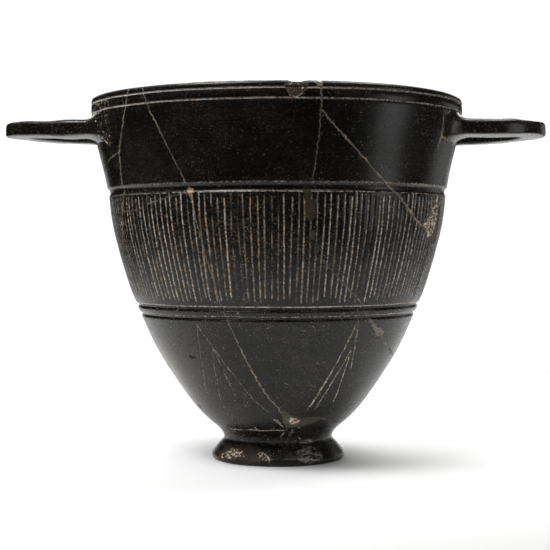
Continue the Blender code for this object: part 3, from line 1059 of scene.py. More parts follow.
MARKS: tuple[Mark, ...] = (
    fill(0.82, (-47.5, 180, 0.3), (-47, 156.5, 0.55), (-49, 148, 0.6), (-52, 141, 0.7),
         (-57, 131.2, 0.75), (-59.5, 122, 0.8), (-60, 116, 0.7), (-62, 108, 0.8), (-65, 100, 0.9),
         (-70, 91, 0.4)),
    fill(0.78, (-57, 131.3, 0.7), (-65, 129.3, 0.55), (-74, 126, 0.4), (-82, 124.5, 0.3)),
    fill(0.80, (-62, 107.5, 0.4), (-57, 107.2, 0.5), (-52, 107.5, 0.5), (-49, 108.5, 0.4),
         (-45, 110, 0.3), (-38, 112, 0.3), (-30, 113.5, 0.3), (-27.5, 114, 0.3)),
    fill(0.80, (-42.2, 180, 0.3), (-41.8, 156.5, 0.5), (-39, 147, 0.5), (-36.2, 139.5, 0.7),
         (-35.8, 137.8, 0.7), (-33, 129, 0.5), (-29, 117, 0.45), (-27.8, 114.5, 0.5),
         (-27, 108, 0.45), (-26, 100, 0.4), (-24, 86, 0.4), (-21.5, 70, 0.4), (-18, 57, 0.45),
         (-14, 46, 0.55), (-10, 37, 0.6), (-5, 30, 0.6), (0, 26, 0.65), (2, 23.5, 0.8)),
    fill(0.66, (-44.8, 157, 0.3), (-43.2, 153.6, 0.35), (-41, 151, 0.3)),
    fill(0.66, (-50.4, 152.8, 0.4), (-50.2, 150.8, 0.45), (-49.3, 149.2, 0.3)),
    fill(0.70, (12, 180, 0.3), (12, 156.5, 0.9), (12, 144.5, 0.75)),
    fill(0.74, (12, 144.5, 0.6), (11.6, 132, 0.45), (11, 124, 0.45), (10.4, 116.5, 0.5)),
    fill(0.82, (12.3, 144.5, 0.6), (14.5, 141, 0.75), (17, 137.8, 0.6), (19.5, 135, 0.8),
         (20.5, 133.5, 0.8), (25, 128.5, 0.6), (30, 123, 0.65), (34.5, 118.5, 0.75),
         (36, 117, 0.8), (40, 114, 1.0), (43, 111, 1.1), (46, 108, 1.3), (48, 106.2, 1.4),
         (51, 103.5, 1.2), (55, 101, 1.2)),
    fill(0.66, (14, 89, 0.5), (16, 86, 0.5), (20, 81.5, 0.6), (26, 75.5, 0.8), (29, 72.5, 0.6),
         (32, 70.3, 0.8), (34.5, 66.5, 0.55), (37.2, 64, 1.0), (40, 62, 1.5), (42, 60.2, 1.4)),
    fill(0.78, (41.5, 60.6), (43, 61), (44.5, 59.6), (46, 59.2), (47.5, 58.9), (49, 58.2),
         (50.5, 57), (51.2, 55.6), (50, 55), (48.5, 55.4), (47, 54.9), (45.5, 56.3),
         (44.3, 57.8), (42.8, 58.6), depth=0.25),
    fill(0.76, (50, 55.5, 0.8), (53, 53, 1.1), (56, 51.5, 0.7), (60, 50, 0.6), (66, 47.5, 0.55),
         (70, 46.5, 0.4), (80, 44.5, 0.3)),
    fill(1.00, (-29.1, 115.5), (-28.2, 115.9), (-27.0, 115.3), (-26.6, 114.3), (-27.2, 113.4),
         (-28.3, 113.3), (-28.9, 114.2), depth=0.05),
    fill(0.80, (-27.9, 113.4, 1.2), (-27.6, 111.8, 0.9), (-27.4, 110.0, 0.6), depth=0.05),
    fill(0.14, (7.6, 115.4), (8.8, 115.8), (10.2, 115.2), (10.3, 111), (10.1, 108.3),
         (9, 107.8), (8.2, 110), (7.7, 113), depth=0.3),
    fill(0.20, *oval(10.1, 106.4, 1.7, 4.4), depth=0.3),
    fill(0.36, *oval(11.2, 97, 0.8, 2.0), depth=0.2),
    fill(0.36, *oval(12.6, 91.5, 0.9, 2.2), depth=0.2),
    fill(0.50, (55, 101), (58.5, 104.8), (62, 109.5), (65, 113.6), (66, 115), (67.6, 114.2),
         (68.6, 112), (69.6, 108.5), (70.4, 104), (70.6, 99), (71, 94), (67, 93.3), (64, 94.5),
         (61.5, 96), (58.5, 98.5), depth=0.3),
    fill(0.44, (1.6, 23.8), (3, 25), (4.8, 24.2), (6.5, 23.2), (9, 22.4), (13, 21.6),
         (17, 21.2), (23, 21.4), (29, 21.2), (33, 20.6), (30, 18.7), (26, 18.3), (22, 17.2),
         (17, 16.6), (13, 16.8), (9.5, 16.3), (6.5, 16.2), (4.5, 18.5), (3, 21), depth=0.28),
    fill(0.66, (6.5, 21.4, 1.4), (11, 19.6, 1.8), (17, 18.4, 1.0), depth=0.20),
    fill(0.55, (29, 20.6, 1.1), (35, 19.9, 0.8), (40, 19.2, 0.6), (45, 18.6, 0.5),
         (54, 18, 0.3)),
    fill(0.26, (2.9, 161), (2.9, 155.9), (2.0, 155.3), (1.6, 154.4), (2.1, 152.3), (2.5, 151.1),
         (3.2, 150.1), (4.2, 149.4), (5.2, 149.4), (6.1, 150.3), (6.95, 151.4), (7.7, 152.5),
         (8.5, 153.5), (8.3, 155.7), (8.3, 161), depth=0.26),
    fill(0.55, (3.4, 161), (3.4, 155.3), (7.2, 155.3), (7.2, 161), depth=0.26, bite=0.42),
    fill(0.52, (2.6, 155.0, 0.8), (5, 155.1, 0.9), (8.0, 155.2, 0.8), depth=0.26),
    fill(0.80, (1.8, 154.2, 0.25), (2.3, 152.2, 0.3), (2.8, 150.9, 0.4)),
    cream((3.3, 149.9, 0.22), (4.3, 149.35, 0.28), (5.3, 149.45, 0.32), (6.2, 150.3, 0.28),
          (7.0, 151.3, 0.28), (7.9, 152.5, 0.28), (8.7, 153.3, 0.24)),
    grains(0.22, (2.4, 155.3), (2.2, 152.6), (3.0, 150.6), (5.1, 150), (7.8, 153.2), (8, 155.4)),
    fill(0.80, (9.9, 155.6, 0.4), (11.2, 154.6, 0.8), (11.4, 153.4, 0.6)),
    fill(0.86, *oval(11.3, 154.1, 0.75, 1.1), depth=0.2),
    fill(0.70, (11.0, 161), (11.0, 155.3), (12.5, 155.3), (12.5, 161), depth=0.2, bite=0.36),
    fill(0.06, (-60, 7), (-52, 7.6), (-40, 7.9), (-28, 7.8), (-18, 7.3), (-13, 5.5), (-11, 3),
         (-10, 0.8), (-30, 0.5), (-50, 0.6), (-62, 1), (-64, 4), depth=0.1),
    fill(0.74, (-74.4, 148.4, 0.6), (-72, 146, 0.8), (-69.6, 143.8, 0.8), (-67.8, 139.8, 0.9),
         (-65.8, 137.2, 0.7), (-64, 135, 0.5), depth=0.1),
    grains(0.60, (-74.8, 148.8, 1.6), (-69.8, 144, 1.8), (-67.9, 139.8, 1.8), (-64, 135, 1.4)),
    grains(0.16, (-69, 146), (-60, 147.5), (-59, 136), (-63, 131)),
    grains(0.26, (-79, 153.5), (-58, 153.9), (-58, 147.8), (-79, 147.4)),
    fill(0.82, (57.6, 146.2, 0.5), (58.4, 142.9, 0.8), (58.8, 140.3, 1.3), (58.9, 138.3, 1.5),
         (58.5, 136.3, 1.1), (58.5, 133.1, 0.6), (58.7, 130.5, 0.35), depth=0.05),
    fill(0.82, (58.9, 137.6, 0.8), (60.5, 137.2, 0.6), (62.6, 136.3, 0.5), (65.3, 135.2, 0.4),
         depth=0.05),
    fill(0.70, (72.5, 146.2, 0.35), (67.0, 141.8, 0.45), depth=0.03),
    cream((66.2, 114.0), (67.1, 113.4), (66.4, 111.4), (65.6, 110.4), (65.3, 111.4)),
    grains(0.50, (56.0, 101.4), (60.5, 104.4), (65.4, 112.8), (67.6, 112.4), (68.6, 107.0),
           (68.0, 99.0), (64.0, 95.6), (61.0, 97.6)),
    cream(*oval(58.2, 101.8, 1.2, 0.6)),
    cream(*oval(62.4, 97.3, 0.9, 1.1)),
    grains(0.46, (5.8, 20.8), (8.5, 21.6), (16.5, 19.8), (16.0, 18.2), (8.5, 18.0)),
    cream(*oval(8.9, 19.8, 0.8, 0.9)),
    cream(*oval(11.6, 19.1, 1.0, 0.5)),
    grains(0.44, (-59.5, 4.2), (-50, 6.2), (-36, 6.1), (-31, 3.6), (-38, 2.4), (-58.5, 1.8)),
    fill(1.00, *oval(-57.2, 2.7, 2.0, 1.2), depth=0.02),
    fill(0.98, (-53, 5.5, 0.5), (-45, 5.8, 0.4), (-38, 5.8, 0.45), depth=0.02),
    fill(1.00, (-56, 4.4, 0.45), (-47, 4.6, 0.6), (-37, 4.4, 0.45), depth=0.02),
    fill(1.00, (-54, 3.3, 0.6), (-46, 3.4, 0.5), (-38, 3.2, 0.45), (-32, 3.8, 0.4), depth=0.02),
    fill(1.00, (-18, 5.8, 0.4), (-13.5, 5.3, 0.5), (-10, 4.5, 0.5), (-8, 3.1, 0.5),
         (-7.4, 1.9, 0.4), depth=0.02),
    fill(1.00, (-17, 4.2, 0.4), (-11.5, 4.0, 0.45), depth=0.02),
    grains(0.34, (-19, 6.4), (-8, 5.4), (-6.8, 1.6), (-15, 2.9), (-19, 4.2)),
    cut(1.00, 0.55, (33.2, 63.3), (31.5, 57), (29.6, 50.5), (27.6, 44), (25.2, 37), (22.6, 31),
        (20.1, 26.3)),
    cut(0.55, 0.32, (32.6, 61), (30.6, 54), (28.6, 47.5), (26.4, 41), (23.9, 35), (21.3, 29.5),
        (18.4, 24.2)),
    cut(0.85, 0.42, (33.6, 62), (34.3, 57), (35.2, 51.5), (36.2, 46.5), (37.2, 43)),
    cut(0.45, 0.30, (33.2, 59), (34.6, 52.5), (35.9, 46.5), (37.9, 41.5)),
    cut(0.85, 0.45, (33.4, 50.5), (32, 45.5), (30, 39.5), (28, 34), (26, 29), (24, 24.6)),
    cut(0.95, 0.45, (33.5, 50), (33.9, 44), (34.4, 38.5), (35, 33), (35.4, 28)),
    cut(0.46, 0.40, (-34, 61), (-35.3, 55), (-36.5, 50), (-38.5, 43), (-41, 38.5),
        (-43.5, 34), (-44.5, 31)),
    cut(0.50, 0.40, (-33.8, 61), (-31.5, 56), (-29, 52), (-25.5, 45.5), (-22, 40), (-18, 34),
        (-14, 29), (-10, 26.3), (-6, 24)),
    cut(0.40, 0.35, (-29, 52), (-31, 45), (-33, 37), (-35.5, 31.5), (-37, 27)),
    cut(0.50, 0.35, (-28.8, 51.5), (-27.5, 44), (-26, 37), (-24.8, 31)),
    cut(0.90, 0.40, (-48, 14.6), (-30, 15), (-18.3, 15.5), (-17, 15.1), (0, 15.4), (8, 15.5)),
    cut(0.90, 0.35, (-47.6, 15.6), (-44.5, 13.4)),
    cut(0.90, 0.35, (-19, 16.6), (-17.4, 15.2)),
    cut(0.95, 0.45, (-3.2, 20.6), (0.5, 18.8), (4.2, 17)),
    cut(0.80, 0.30, (-1.6, 20.9), (2.2, 18.5)),
    cut(0.95, 0.40, (6.6, 15.6), (4.6, 13.6), (2.6, 12)),
    cut(0.80, 0.35, (12.5, 15.2), (10.2, 12.8)),
    cut(0.80, 0.30, (14.2, 14.6), (11.6, 12.6)),
    cut(0.90, 0.40, (15.5, 16.9), (18.2, 16.2)),
    cut(0.70, 0.35, (20.5, 12), (22.8, 10.9)),
    cut(0.35, 0.30, (-55.8, 147.5), (-55.4, 141.5)),
    Mark(Trace.DENT, oval(-42, 47.5, 2.2, 0.7), 0.5, 0.5),
    Mark(Trace.DENT, oval(-19, 42, 1.9, 0.5), 0.5, 0.3),
    Mark(Trace.DENT, oval(-66, 24, 2.6, 0.6), 0.5, 0.4),
    # Pale patches on the foot and the lip top: painted highlight, partly rubbed wear.
    Mark(Trace.RUB_AND_HIGHLIGHT, oval(29, 4.4, 13, 3.2), 0.6, 0.0),
    Mark(Trace.RUB_AND_HIGHLIGHT, ((-48, 156.4, 0.8), (-28, 156.2, 1.6), (12, 156.2, 1.6)), 0.6, 0.0),
    Mark(Trace.RUB_AND_HIGHLIGHT, oval(31, 9.6, 7, 0.8), 0.6, 0.0),
)


@dataclass
class Skin:
    """A triangle mesh with records on its points, in millimetres."""

    points: Array
    triangles: Array
    values: dict[str, Array] = field(default_factory=dict)

    def angles(self) -> Array:
        """Angles of the points from the front in degrees."""
        return np.degrees(np.arctan2(self.points[:, 0], -self.points[:, 1]))

    def radii(self) -> Array:
        """Distances of the points from the axis."""
        return np.hypot(self.points[:, 0], self.points[:, 1])

    def normals(self) -> Array:
        """Unit normals of the points, weighted by the area of the faces around them."""
        a, b, c = (self.points[self.triangles[:, i]] for i in range(3))
        face = np.cross(b - a, c - a)
        total = np.zeros_like(self.points)
        for i in range(3):
            for axis in range(3):
                total[:, axis] += np.bincount(
                    self.triangles[:, i], face[:, axis], minlength=len(self.points)
                )
        return total / np.maximum(np.linalg.norm(total, axis=1), 1e-12)[:, None]

    def split(self, wanted: Array, edges: Array, inverse: Array) -> None:
        """Halves the wanted edges and divides every triangle that touches one.

        Args:
            wanted: Whether each distinct edge is halved.
            edges: Point pairs of the distinct edges.
            inverse: For each side of each triangle, in blocks of sides, its distinct edge.
        """
        number = np.full(len(edges), -1)
        number[wanted] = len(self.points) + np.arange(int(wanted.sum()))
        first, second = edges[wanted].T
        self.points = np.vstack([self.points, (self.points[first] + self.points[second]) / 2])
        for name, value in self.values.items():
            self.values[name] = np.concatenate([value, (value[first] + value[second]) / 2])
        middle = number[inverse].reshape(3, -1).T
        halved = (middle >= 0).sum(1)
        pieces = [self.triangles[halved == 0]]

        every = halved == 3
        (a, b, c), (p, q, r) = self.triangles[every].T, middle[every].T
        pieces += [np.stack(t, 1) for t in ((a, p, r), (p, b, q), (r, q, c), (p, q, r))]
        for side in range(3):
            turned = np.roll(self.triangles, -side, 1)
            around = np.roll(middle, -side, 1)
            one = (halved == 1) & (around[:, 0] >= 0)
            (a, b, c), p = turned[one].T, around[one, 0]
            pieces += [np.stack((a, p, c), 1), np.stack((p, b, c), 1)]
            two = (halved == 2) & (around[:, 2] < 0)
            (a, b, c), p, q = turned[two].T, around[two, 0], around[two, 1]
            pieces.append(np.stack((p, b, q), 1))
            left = np.linalg.norm(self.points[a] - self.points[q], axis=1)
            right = np.linalg.norm(self.points[p] - self.points[c], axis=1)
            short = (left < right)[:, None]
            pieces.append(np.where(short, np.stack((a, p, q), 1), np.stack((a, p, c), 1)))
            pieces.append(np.where(short, np.stack((a, q, c), 1), np.stack((p, q, c), 1)))
        self.triangles = np.vstack(pieces)

    def sides(self) -> tuple[Array, Array]:
        """Distinct edges, and for each side of each triangle which one it is."""
        ends = np.concatenate([self.triangles[:, [i, (i + 1) % 3]] for i in range(3)])
        ends.sort(axis=1)
        size = len(self.points)
        keys, inverse = np.unique(ends[:, 0] * size + ends[:, 1], return_inverse=True)
        return np.stack((keys // size, keys % size), 1), inverse

    def piece(self, name: str, material: bpy.types.Material) -> bpy.types.Object:
        """Makes the Blender object.

        Args:
            name: Name of the object and its mesh.
            material: The finish of all faces.

        Returns:
            The new object, at the origin.
        """
        mesh = bpy.data.meshes.new(name)
        mesh.from_pydata((self.points * MM).tolist(), [], self.triangles.tolist())
        mesh.materials.append(material)
        mesh.polygons.foreach_set("use_smooth", np.ones(len(mesh.polygons), bool))
        for key, value in self.values.items():
            record = mesh.attributes.new(key, "FLOAT", "POINT")
            record.data.foreach_set("value", value.astype(np.float32))
        mesh.update()
        made = bpy.data.objects.new(name, mesh)
        bpy.context.scene.collection.objects.link(made)
        return made


@dataclass(frozen=True)
class WornSurface:
    """The mends, losses, incised rays and pits, worked into a skin."""

    marks: tuple[Mark, ...] = MARKS
    edge_length: float = 0.27
    soft_length: float = 0.60
    inner_length: float = 0.70
    inner_gain: float = 0.45
    margin: float = 0.12
    rounds: int = 6
    triangle_limit: int = 192000

    def measure(self, skin: Skin, course: Array) -> dict[str, Array]:
        """Finds how far every point lies inside each kind of mark.

        Args:
            skin: The skin.
            course: Height of each point along the unrolled section.

        Returns:
            Signed distances by record name, the tones, and the recess and bite in millimetres.
        """
        angle, radius = skin.angles(), skin.radii()
        found = {trace.value: np.full(len(angle), FAR) for trace in Trace}
        found.update({name: np.zeros(len(angle)) for name in ("recess", "bite")})
        found.update({trace.value + "_tone": np.zeros(len(angle)) for trace in Trace})
        jitter = swell(skin.points, 2.2, 21), swell(skin.points, 2.2, 22)
        for mark in self.marks:
            near = mark.near(angle, course, radius)
            if not len(near):
                continue
            sway = 0.10 if mark.trace is Trace.CUT else 0.22
            shifted = angle[near] + np.degrees(sway * jitter[0][near] / radius[near])
            raised = course[near] + sway * jitter[1][near]
            inside = mark.inside(shifted, raised, radius[near])
            key = mark.trace.value
            better = inside > found[key][near]
            found[key][near[better]] = inside[better]
            found[key + "_tone"][near[better]] = mark.tone
            found["recess"][near] = self._deeper(found["recess"][near], mark.recess(inside))
            if mark.bite:
                fade = ease(course[near], 152.5, 155.5) * (1 - ease(course[near], 160.0, 164.0))
                found["bite"][near] += mark.bite * ease(inside, -0.2, 1.0) * fade
        return found

    @staticmethod
    def _deeper(first: Array, second: Array) -> Array:
        """Adds raised plaster to a recess, and otherwise keeps the deeper of two recesses."""
        return np.where(second < 0, first + second, np.maximum(first, second))

    def refine(self, skin: Skin, settle: Any) -> None:
        """Divides the skin where marks lie.

        Args:
            skin: The skin, changed in place.
            settle: Called after each round to put new points back on the smooth wall.
        """
        for _ in range(self.rounds):
            found = self.measure(skin, skin.values["course"])
            edges, inverse = skin.sides()
            length = np.linalg.norm(skin.points[edges[:, 0]] - skin.points[edges[:, 1]], axis=1)
            wanted = np.zeros(len(edges), bool)
            for sharp, finest in ((True, self.edge_length), (False, self.soft_length)):
                chosen = [found[trace.value] for trace in Trace if trace.sharp is sharp]
                deepest = np.max(chosen, axis=0)[edges].max(1)
                close = -deepest < self.margin + 0.5 * length
                target = finest + self.inner_gain * np.maximum(deepest - 0.3, 0.0)
                wanted |= close & (length > np.minimum(target, self.inner_length) * 1.35)
            room = (self.triangle_limit - len(skin.triangles)) // 2
            if wanted.sum() > room:
                wanted &= length > np.sort(length[wanted])[-room]
            if not wanted.any():
                break
            LOG.info("%d triangles, %d edges halved", len(skin.triangles), wanted.sum())
            skin.split(wanted, edges, inverse)
            settle(skin)

    def apply(self, skin: Skin, share: Optional[Array] = None) -> None:
        """Presses the marks into the skin and records them for the finish.

        Args:
            skin: The skin, changed in place.
            share: How much of each mark reaches a point, 1 everywhere if left out.
        """
        found = self.measure(skin, skin.values["course"])
        rough = swell(skin.points, 1.1, 31) * 0.05 + swell(skin.points, 0.6, 32) * 0.03
        rough *= ease(found[Trace.FILL.value], 0.1, 0.6) + ease(found[Trace.CREAM.value], 0.0, 0.4)
        recess = found["recess"] + rough
        if share is not None:
            recess = recess * share
        skin.points = skin.points - skin.normals() * recess[:, None]
        skin.points[:, 2] -= found["bite"]
        for trace in Trace:
            reach = np.clip(found[trace.value] + RECORD_EDGE, 0.0, 2 * RECORD_EDGE)
            skin.values[trace.value] = reach
        for trace in (Trace.FILL, Trace.CUT, Trace.GRAINS):
            skin.values[trace.value + "_tone"] = found[trace.value + "_tone"]


@dataclass(frozen=True)
class CupBody:
    """The turned bowl on its ring foot, hollow, with all that is worked into its surface."""

    name: str = "cup_body"
    line_count: int = 172
    columns_per_line: int = 4
    longest_row: float = 4.6
    lined_top: float = 114.3
    lined_bottom: float = 69.2
    wall_at_rim: float = 3.8
    wall_at_floor: float = 6.0
    thin_wall_height: float = 70.0
    inner_step: float = 3.4
    inner_start: float = 26.0
    inner_end: float = 151.0
    inner_lip: Knot = (153.8, 76.72)
    hidden_course: float = -20.0
    burnish_relief: float = 0.07
    burnish_length: float = 34.0
    rim_tilt: float = 0.50
    rim_shift: float = 0.20

    def build(
        self, profile: Profile, worn: WornSurface, clay: bpy.types.Material
    ) -> bpy.types.Object:
        """Turns, joins, refines and marks the body.

        Args:
            profile: The outer wall.
            worn: The marks.
            clay: The finish.

        Returns:
            The finished object.
        """
        tree = Incision()
        plain = {"Columns per line": 1, "Line depth": 0.0, "Clay": clay}
        wall = profile.rows(self.longest_row)
        above = [row for row in wall if row[0] > self.lined_top]
        below = [row for row in wall if row[0] < self.lined_bottom]
        lined = wall[len(above) : len(wall) - len(below)]
        skin = self._join(
            tree.shell("upper", self._inner_rows() + list(LIP_ROWS) + above, plain),
            tree.shell("lined", lined, {"Clay": clay}),
            tree.shell("lower", below + list(UNDERSIDE_ROWS), plain),
        )
        skin.values["course"], on_wall = self._courses(skin)
        skin.values["on_wall"] = on_wall.astype(float)

        def settle(changed: Skin) -> None:
            """Puts points between two wall points back on the profile, less the line's depth."""
            on_wall = changed.values["on_wall"] > 0.999
            changed.values["course"][on_wall] = changed.points[on_wall, 2]
            wanted = profile.radius(changed.points[:, 2]) - changed.values["line_cut"]
            factor = np.where(on_wall, wanted / np.maximum(changed.radii(), 1e-6), 1.0)
            changed.points[:, :2] *= factor[:, None]

        worn.refine(skin, settle)
        skin.points += skin.normals() * self._burnish(skin)[:, None]
        high = ease(skin.points[:, 2], 134.0, 152.0)
        skin.points[:, 2] -= self.rim_tilt * (skin.points[:, 0] / 80.0) ** 5 * high
        skin.points[:, 0] -= self.rim_shift * ease(skin.points[:, 2], 112.0, 130.0)
        worn.apply(skin)
        del skin.values["course"]
        return skin.piece(self.name, clay)

    def _burnish(self, skin: Skin) -> Array:
        """Hand-made unevenness of the wall, fading out at the lip, the foot and the floor."""
        level = skin.points[:, 2]
        fade = ease(level, 0.5, 12.0) * (1.0 - ease(level, 152.0, 154.5))
        return swell(skin.points, self.burnish_length, 5) * self.burnish_relief * fade

    def _inner_rows(self) -> list[Knot]:
        """Heights and radii of the inside, from the middle of the floor up to the lip."""
        smooth = Profile(SMOOTH_STATIONS)
        rows: list[Knot] = list(FLOOR_ROWS)
        height = self.inner_start
        while height < self.inner_end:
            thinning = min(height / self.thin_wall_height, 1.0)
            depth = self.wall_at_floor + (self.wall_at_rim - self.wall_at_floor) * thinning
            low, high = smooth.radius(np.array([height - 0.5, height + 0.5]))
            slope = float(high - low)
            along = math.hypot(1.0, slope)
            ring = 0.10 * math.sin(height * 0.62) + 0.06 * math.sin(height * 1.13 + 1.0)
            radius = float(smooth.radius(np.array(height))) - (depth + ring) / along
            rows.append((height + depth * slope / along, radius))
            height += self.inner_step
        rows.append(self.inner_lip)
        return rows

    def _join(self, upper: Shell, lined: Shell, lower: Shell) -> Skin:
        """Joins the three shells into one closed skin.

        Args:
            upper: The inside, the lip and the wall above the lines.
            lined: The wall with the upright lines, which has more columns.
            lower: The wall below the lines, the foot and the underside.

        Returns:
            The closed skin.
        """
        shells = (upper, lined, lower)
        starts = np.cumsum([0] + [len(shell.points) for shell in shells])
        triangles: list[tuple[int, int, int]] = []
        for shell, start in zip(shells, starts):
            for face in shell.faces:
                a, *others = (corner + int(start) for corner in face)
                triangles += [(a, b, c) for b, c in zip(others, others[1:])]
        above, first = upper.rim(True) + starts[0], lined.rim(True) + starts[1]
        last, below = lined.rim(False) + starts[1], lower.rim(False) + starts[2]
        triangles += self._fan(first, above, False) + self._fan(last, below, True)
        values = {
            name: np.concatenate([shell.values[name] for shell in shells]).astype(float)
            for name in LINE_RECORDS
        }
        points = np.vstack([shell.points for shell in shells])
        return Skin(points, np.array(triangles, dtype=np.int64), values)

    def _fan(self, fine: Array, coarse: Array, fine_first: bool) -> list[tuple[int, int, int]]:
        """Triangles between a ring with all columns and a ring with one column a line.

        Args:
            fine: Point indices of the ring with all columns.
            coarse: Point indices of the other ring.
            fine_first: Whether the fine ring comes first along the section.

        Returns:
            The triangles, facing outwards.
        """
        made: list[tuple[int, int, int]] = []
        step = self.columns_per_line
        for i in range(self.line_count):
            a = [int(fine[(step * i + k) % len(fine)]) for k in range(step + 1)]
            b, after = int(coarse[i]), int(coarse[(i + 1) % len(coarse)])
            half = step // 2
            made += [(b, a[k], a[k + 1]) for k in range(half)]
            made.append((b, a[half], after))
            made += [(after, a[k], a[k + 1]) for k in range(half, step)]
        return [(z, y, x) for x, y, z in made] if fine_first else made

    def _courses(self, skin: Skin) -> tuple[Array, Array]:
        """Height along the unrolled section, which runs on over the lip and down inside.

        Args:
            skin: The joined skin.

        Returns:
            The height of each point, and whether it lies on the outer wall.
        """
        level, radius = skin.points[:, 2], skin.radii()
        top = max(height for height, _ in OUTER_STATIONS)
        path = np.array([OUTER_STATIONS[0], *LIP_ROWS[::-1], *self._inner_rows()[::-1]])
        lengths = np.hypot(*np.diff(path, axis=0).T)
        along = top + np.concatenate([[0.0], np.cumsum(lengths)])
        course = level.copy()
        edge = np.interp(level, [0.0, 9.0, 16.0, 154.0], [22.0, 21.5, 25.0, 78.5])
        smooth = Profile(SMOOTH_STATIONS)
        inside = (level > 12.0) & (radius < smooth.radius(level) - 2.2)
        over = (level > top + 1e-3) | inside
        for i in np.flatnonzero(over):
            nearest = np.argmin((path[:, 0] - level[i]) ** 2 + (path[:, 1] - radius[i]) ** 2)
            course[i] = along[nearest]
        wall = ~over & (radius > edge)
        course[~over & ~wall] = self.hidden_course
        return course, wall


@dataclass(frozen=True)
class LoopHandle:
    """One flat strap handle, a horizontal loop that grows out of the wall at both ends.

    The plan follows a superellipse: reach is its tip, bow and splay its half width, forward how
    far it was set towards the front, level the height of its root. All sizes are in millimetres.
    """

    name: str
    side: int
    reach: float
    bow: float
    splay: float
    roundness: float
    forward: float
    level: float
    seed: int
    root: float = 74.0
    tip_lift: float = 1.1
    half_width: float = 5.6
    above: float = 3.35
    below: float = 4.2
    lean: float = 0.95
    tip_size: float = 0.91
    limb_size: float = 1.1
    stations: int = 110
    corners: int = 56
    flare_outer: float = 6.0
    flare_inner: float = 3.0
    flare_top: float = 3.6
    flare_bottom: float = 4.6
    flare_length: float = 7.0
    clearance: float = 7.6
    upper_roundness: float = 3.6
    lower_roundness: float = 8.0
    highest_wall: float = 148.0
    marked_reach: float = 2.5
    free_course: float = -40.0

    def build(
        self, profile: Profile, worn: WornSurface, clay: bpy.types.Material
    ) -> bpy.types.Object:
        """Sweeps the strap and lets both ends into the wall.

        Args:
            profile: The outer wall that the roots follow.
            worn: The marks, which run on over the roots.
            clay: The finish.

        Returns:
            The finished object.
        """
        centres, ways, sizes = self._route()
        rings = [self._ring(*station) for station in zip(centres, ways, sizes)]
        gaps = [np.hypot(*ring[:, :2].T) - profile.radius(ring[:, 2]) for ring in rings]
        free = [i for i, gap in enumerate(gaps) if gap.min() > self.clearance]
        first, last = free[0], free[-1]
        near = self._root(profile, rings[first], -ways[first])
        far = self._root(profile, rings[last], ways[last])
        rings = near[::-1] + rings[first : last + 1] + far
        points = np.vstack(rings)
        triangles = self._faces(len(rings))
        ends = [rings[0].mean(0), rings[-1].mean(0)]
        points = np.vstack([points, ends])
        skin = Skin(points, triangles)
        self._settle(skin, profile, worn)
        return skin.piece(self.name, clay)

    def _route(self) -> tuple[Array, Array, Array]:
        """Evenly spaced middle points, directions and sizes along the loop."""
        length = self.reach - self.half_width * self.tip_size - self.root
        turns = np.radians(np.linspace(-90.0, 90.0, 4001))
        outward = np.abs(np.cos(turns)) ** (2.0 / self.roundness)
        spread = self.bow * np.abs(np.sin(turns)) ** (2.0 / self.roundness)
        spread += self.splay * (1.0 - outward)
        x = self.root + length * outward
        y = np.sign(turns) * spread
        travelled = np.concatenate([[0.0], np.cumsum(np.hypot(np.diff(x), np.diff(y)))])
        even = np.linspace(0.0, travelled[-1], self.stations)
        outward = np.interp(even, travelled, outward)
        x, y = np.interp(even, travelled, x), np.interp(even, travelled, y)
        level = self.level + self.tip_lift * outward
        centres = np.stack((self.side * x, y - self.forward, level), 1)
        ways = np.gradient(centres, axis=0)
        ways[:, 2] = 0.0
        ways /= np.linalg.norm(ways, axis=1)[:, None]
        return centres, ways, self.limb_size + (self.tip_size - self.limb_size) * outward

    def _ring(self, centre: Array, way: Array, size: float) -> Array:
        """One cross-section: flat on top, an upright outer face, an underside that leans to the front.

        Args:
            centre: The section's middle.
            way: Direction of the strap there.
            size: Scale of the section.

        Returns:
            The section's points.
        """
        turn = (np.arange(self.corners) + 0.5) * math.tau / self.corners
        upper = np.sin(turn) > 0
        power = 2.0 / np.where(upper, self.upper_roundness, self.lower_roundness)
        tall = np.where(upper, self.above, self.below)
        across = np.sign(np.cos(turn)) * np.abs(np.cos(turn)) ** power * self.half_width
        up = np.sign(np.sin(turn)) * np.abs(np.sin(turn)) ** power * tall
        beside = np.array([way[1], -way[0], 0.0]) * self.side
        lean = self.lean * (0.55 - 0.45 * beside[1]) / self.below
        up = np.where(upper, up, up * (1.0 - lean * (across / self.half_width + 1.0) / 2))
        above = np.array([0.0, 0.0, 1.0])
        return centre + size * (across[:, None] * beside + up[:, None] * above)

    def _root(self, profile: Profile, ring: Array, way: Array) -> list[Array]:
        """Rings from the last free section to the wall, flaring out into a fillet.

        Args:
            profile: The outer wall.
            ring: The last free section.
            way: Direction towards the wall.

        Returns:
            The rings in order, ending inside the wall.
        """
        middle = ring.mean(0)
        out = ring - middle
        out -= (out @ way)[:, None] * way
        out /= np.linalg.norm(out, axis=1)[:, None]
        lift = np.clip(out[:, 2], -1.0, 1.0)
        vertical = np.where(lift > 0, self.flare_top, self.flare_bottom)
        outer = out[:, 1] * (middle[1] + self.forward) > 0
        level = np.where(outer, self.flare_outer, self.flare_inner)
        flare = level + (vertical - level) * lift**2
        free = self._reach(profile, ring, way)
        steps: list[tuple[Array, Array]] = []
        for share in (0.35, 0.7, 1.0):
            steps.append((free + (self.flare_length - free) * share, np.zeros(len(ring))))
        for turn in np.radians([12.0, 24.0, 36.0, 48.0, 60.0, 70.0, 80.0, 90.0]):
            rest = self.flare_length * (1.0 - math.sin(turn))
            steps.append((np.full(len(ring), rest), flare * (1.0 - math.cos(turn))))
        steps.append((np.full(len(ring), -0.30), flare + 0.15))
        steps.append((np.full(len(ring), -1.60), flare * 0.4))
        rings = []
        for rest, wide in steps:
            start = ring + out * wide[:, None]
            travel = self._reach(profile, start, way) - rest
            rings.append(start + way * travel[:, None])
        return rings

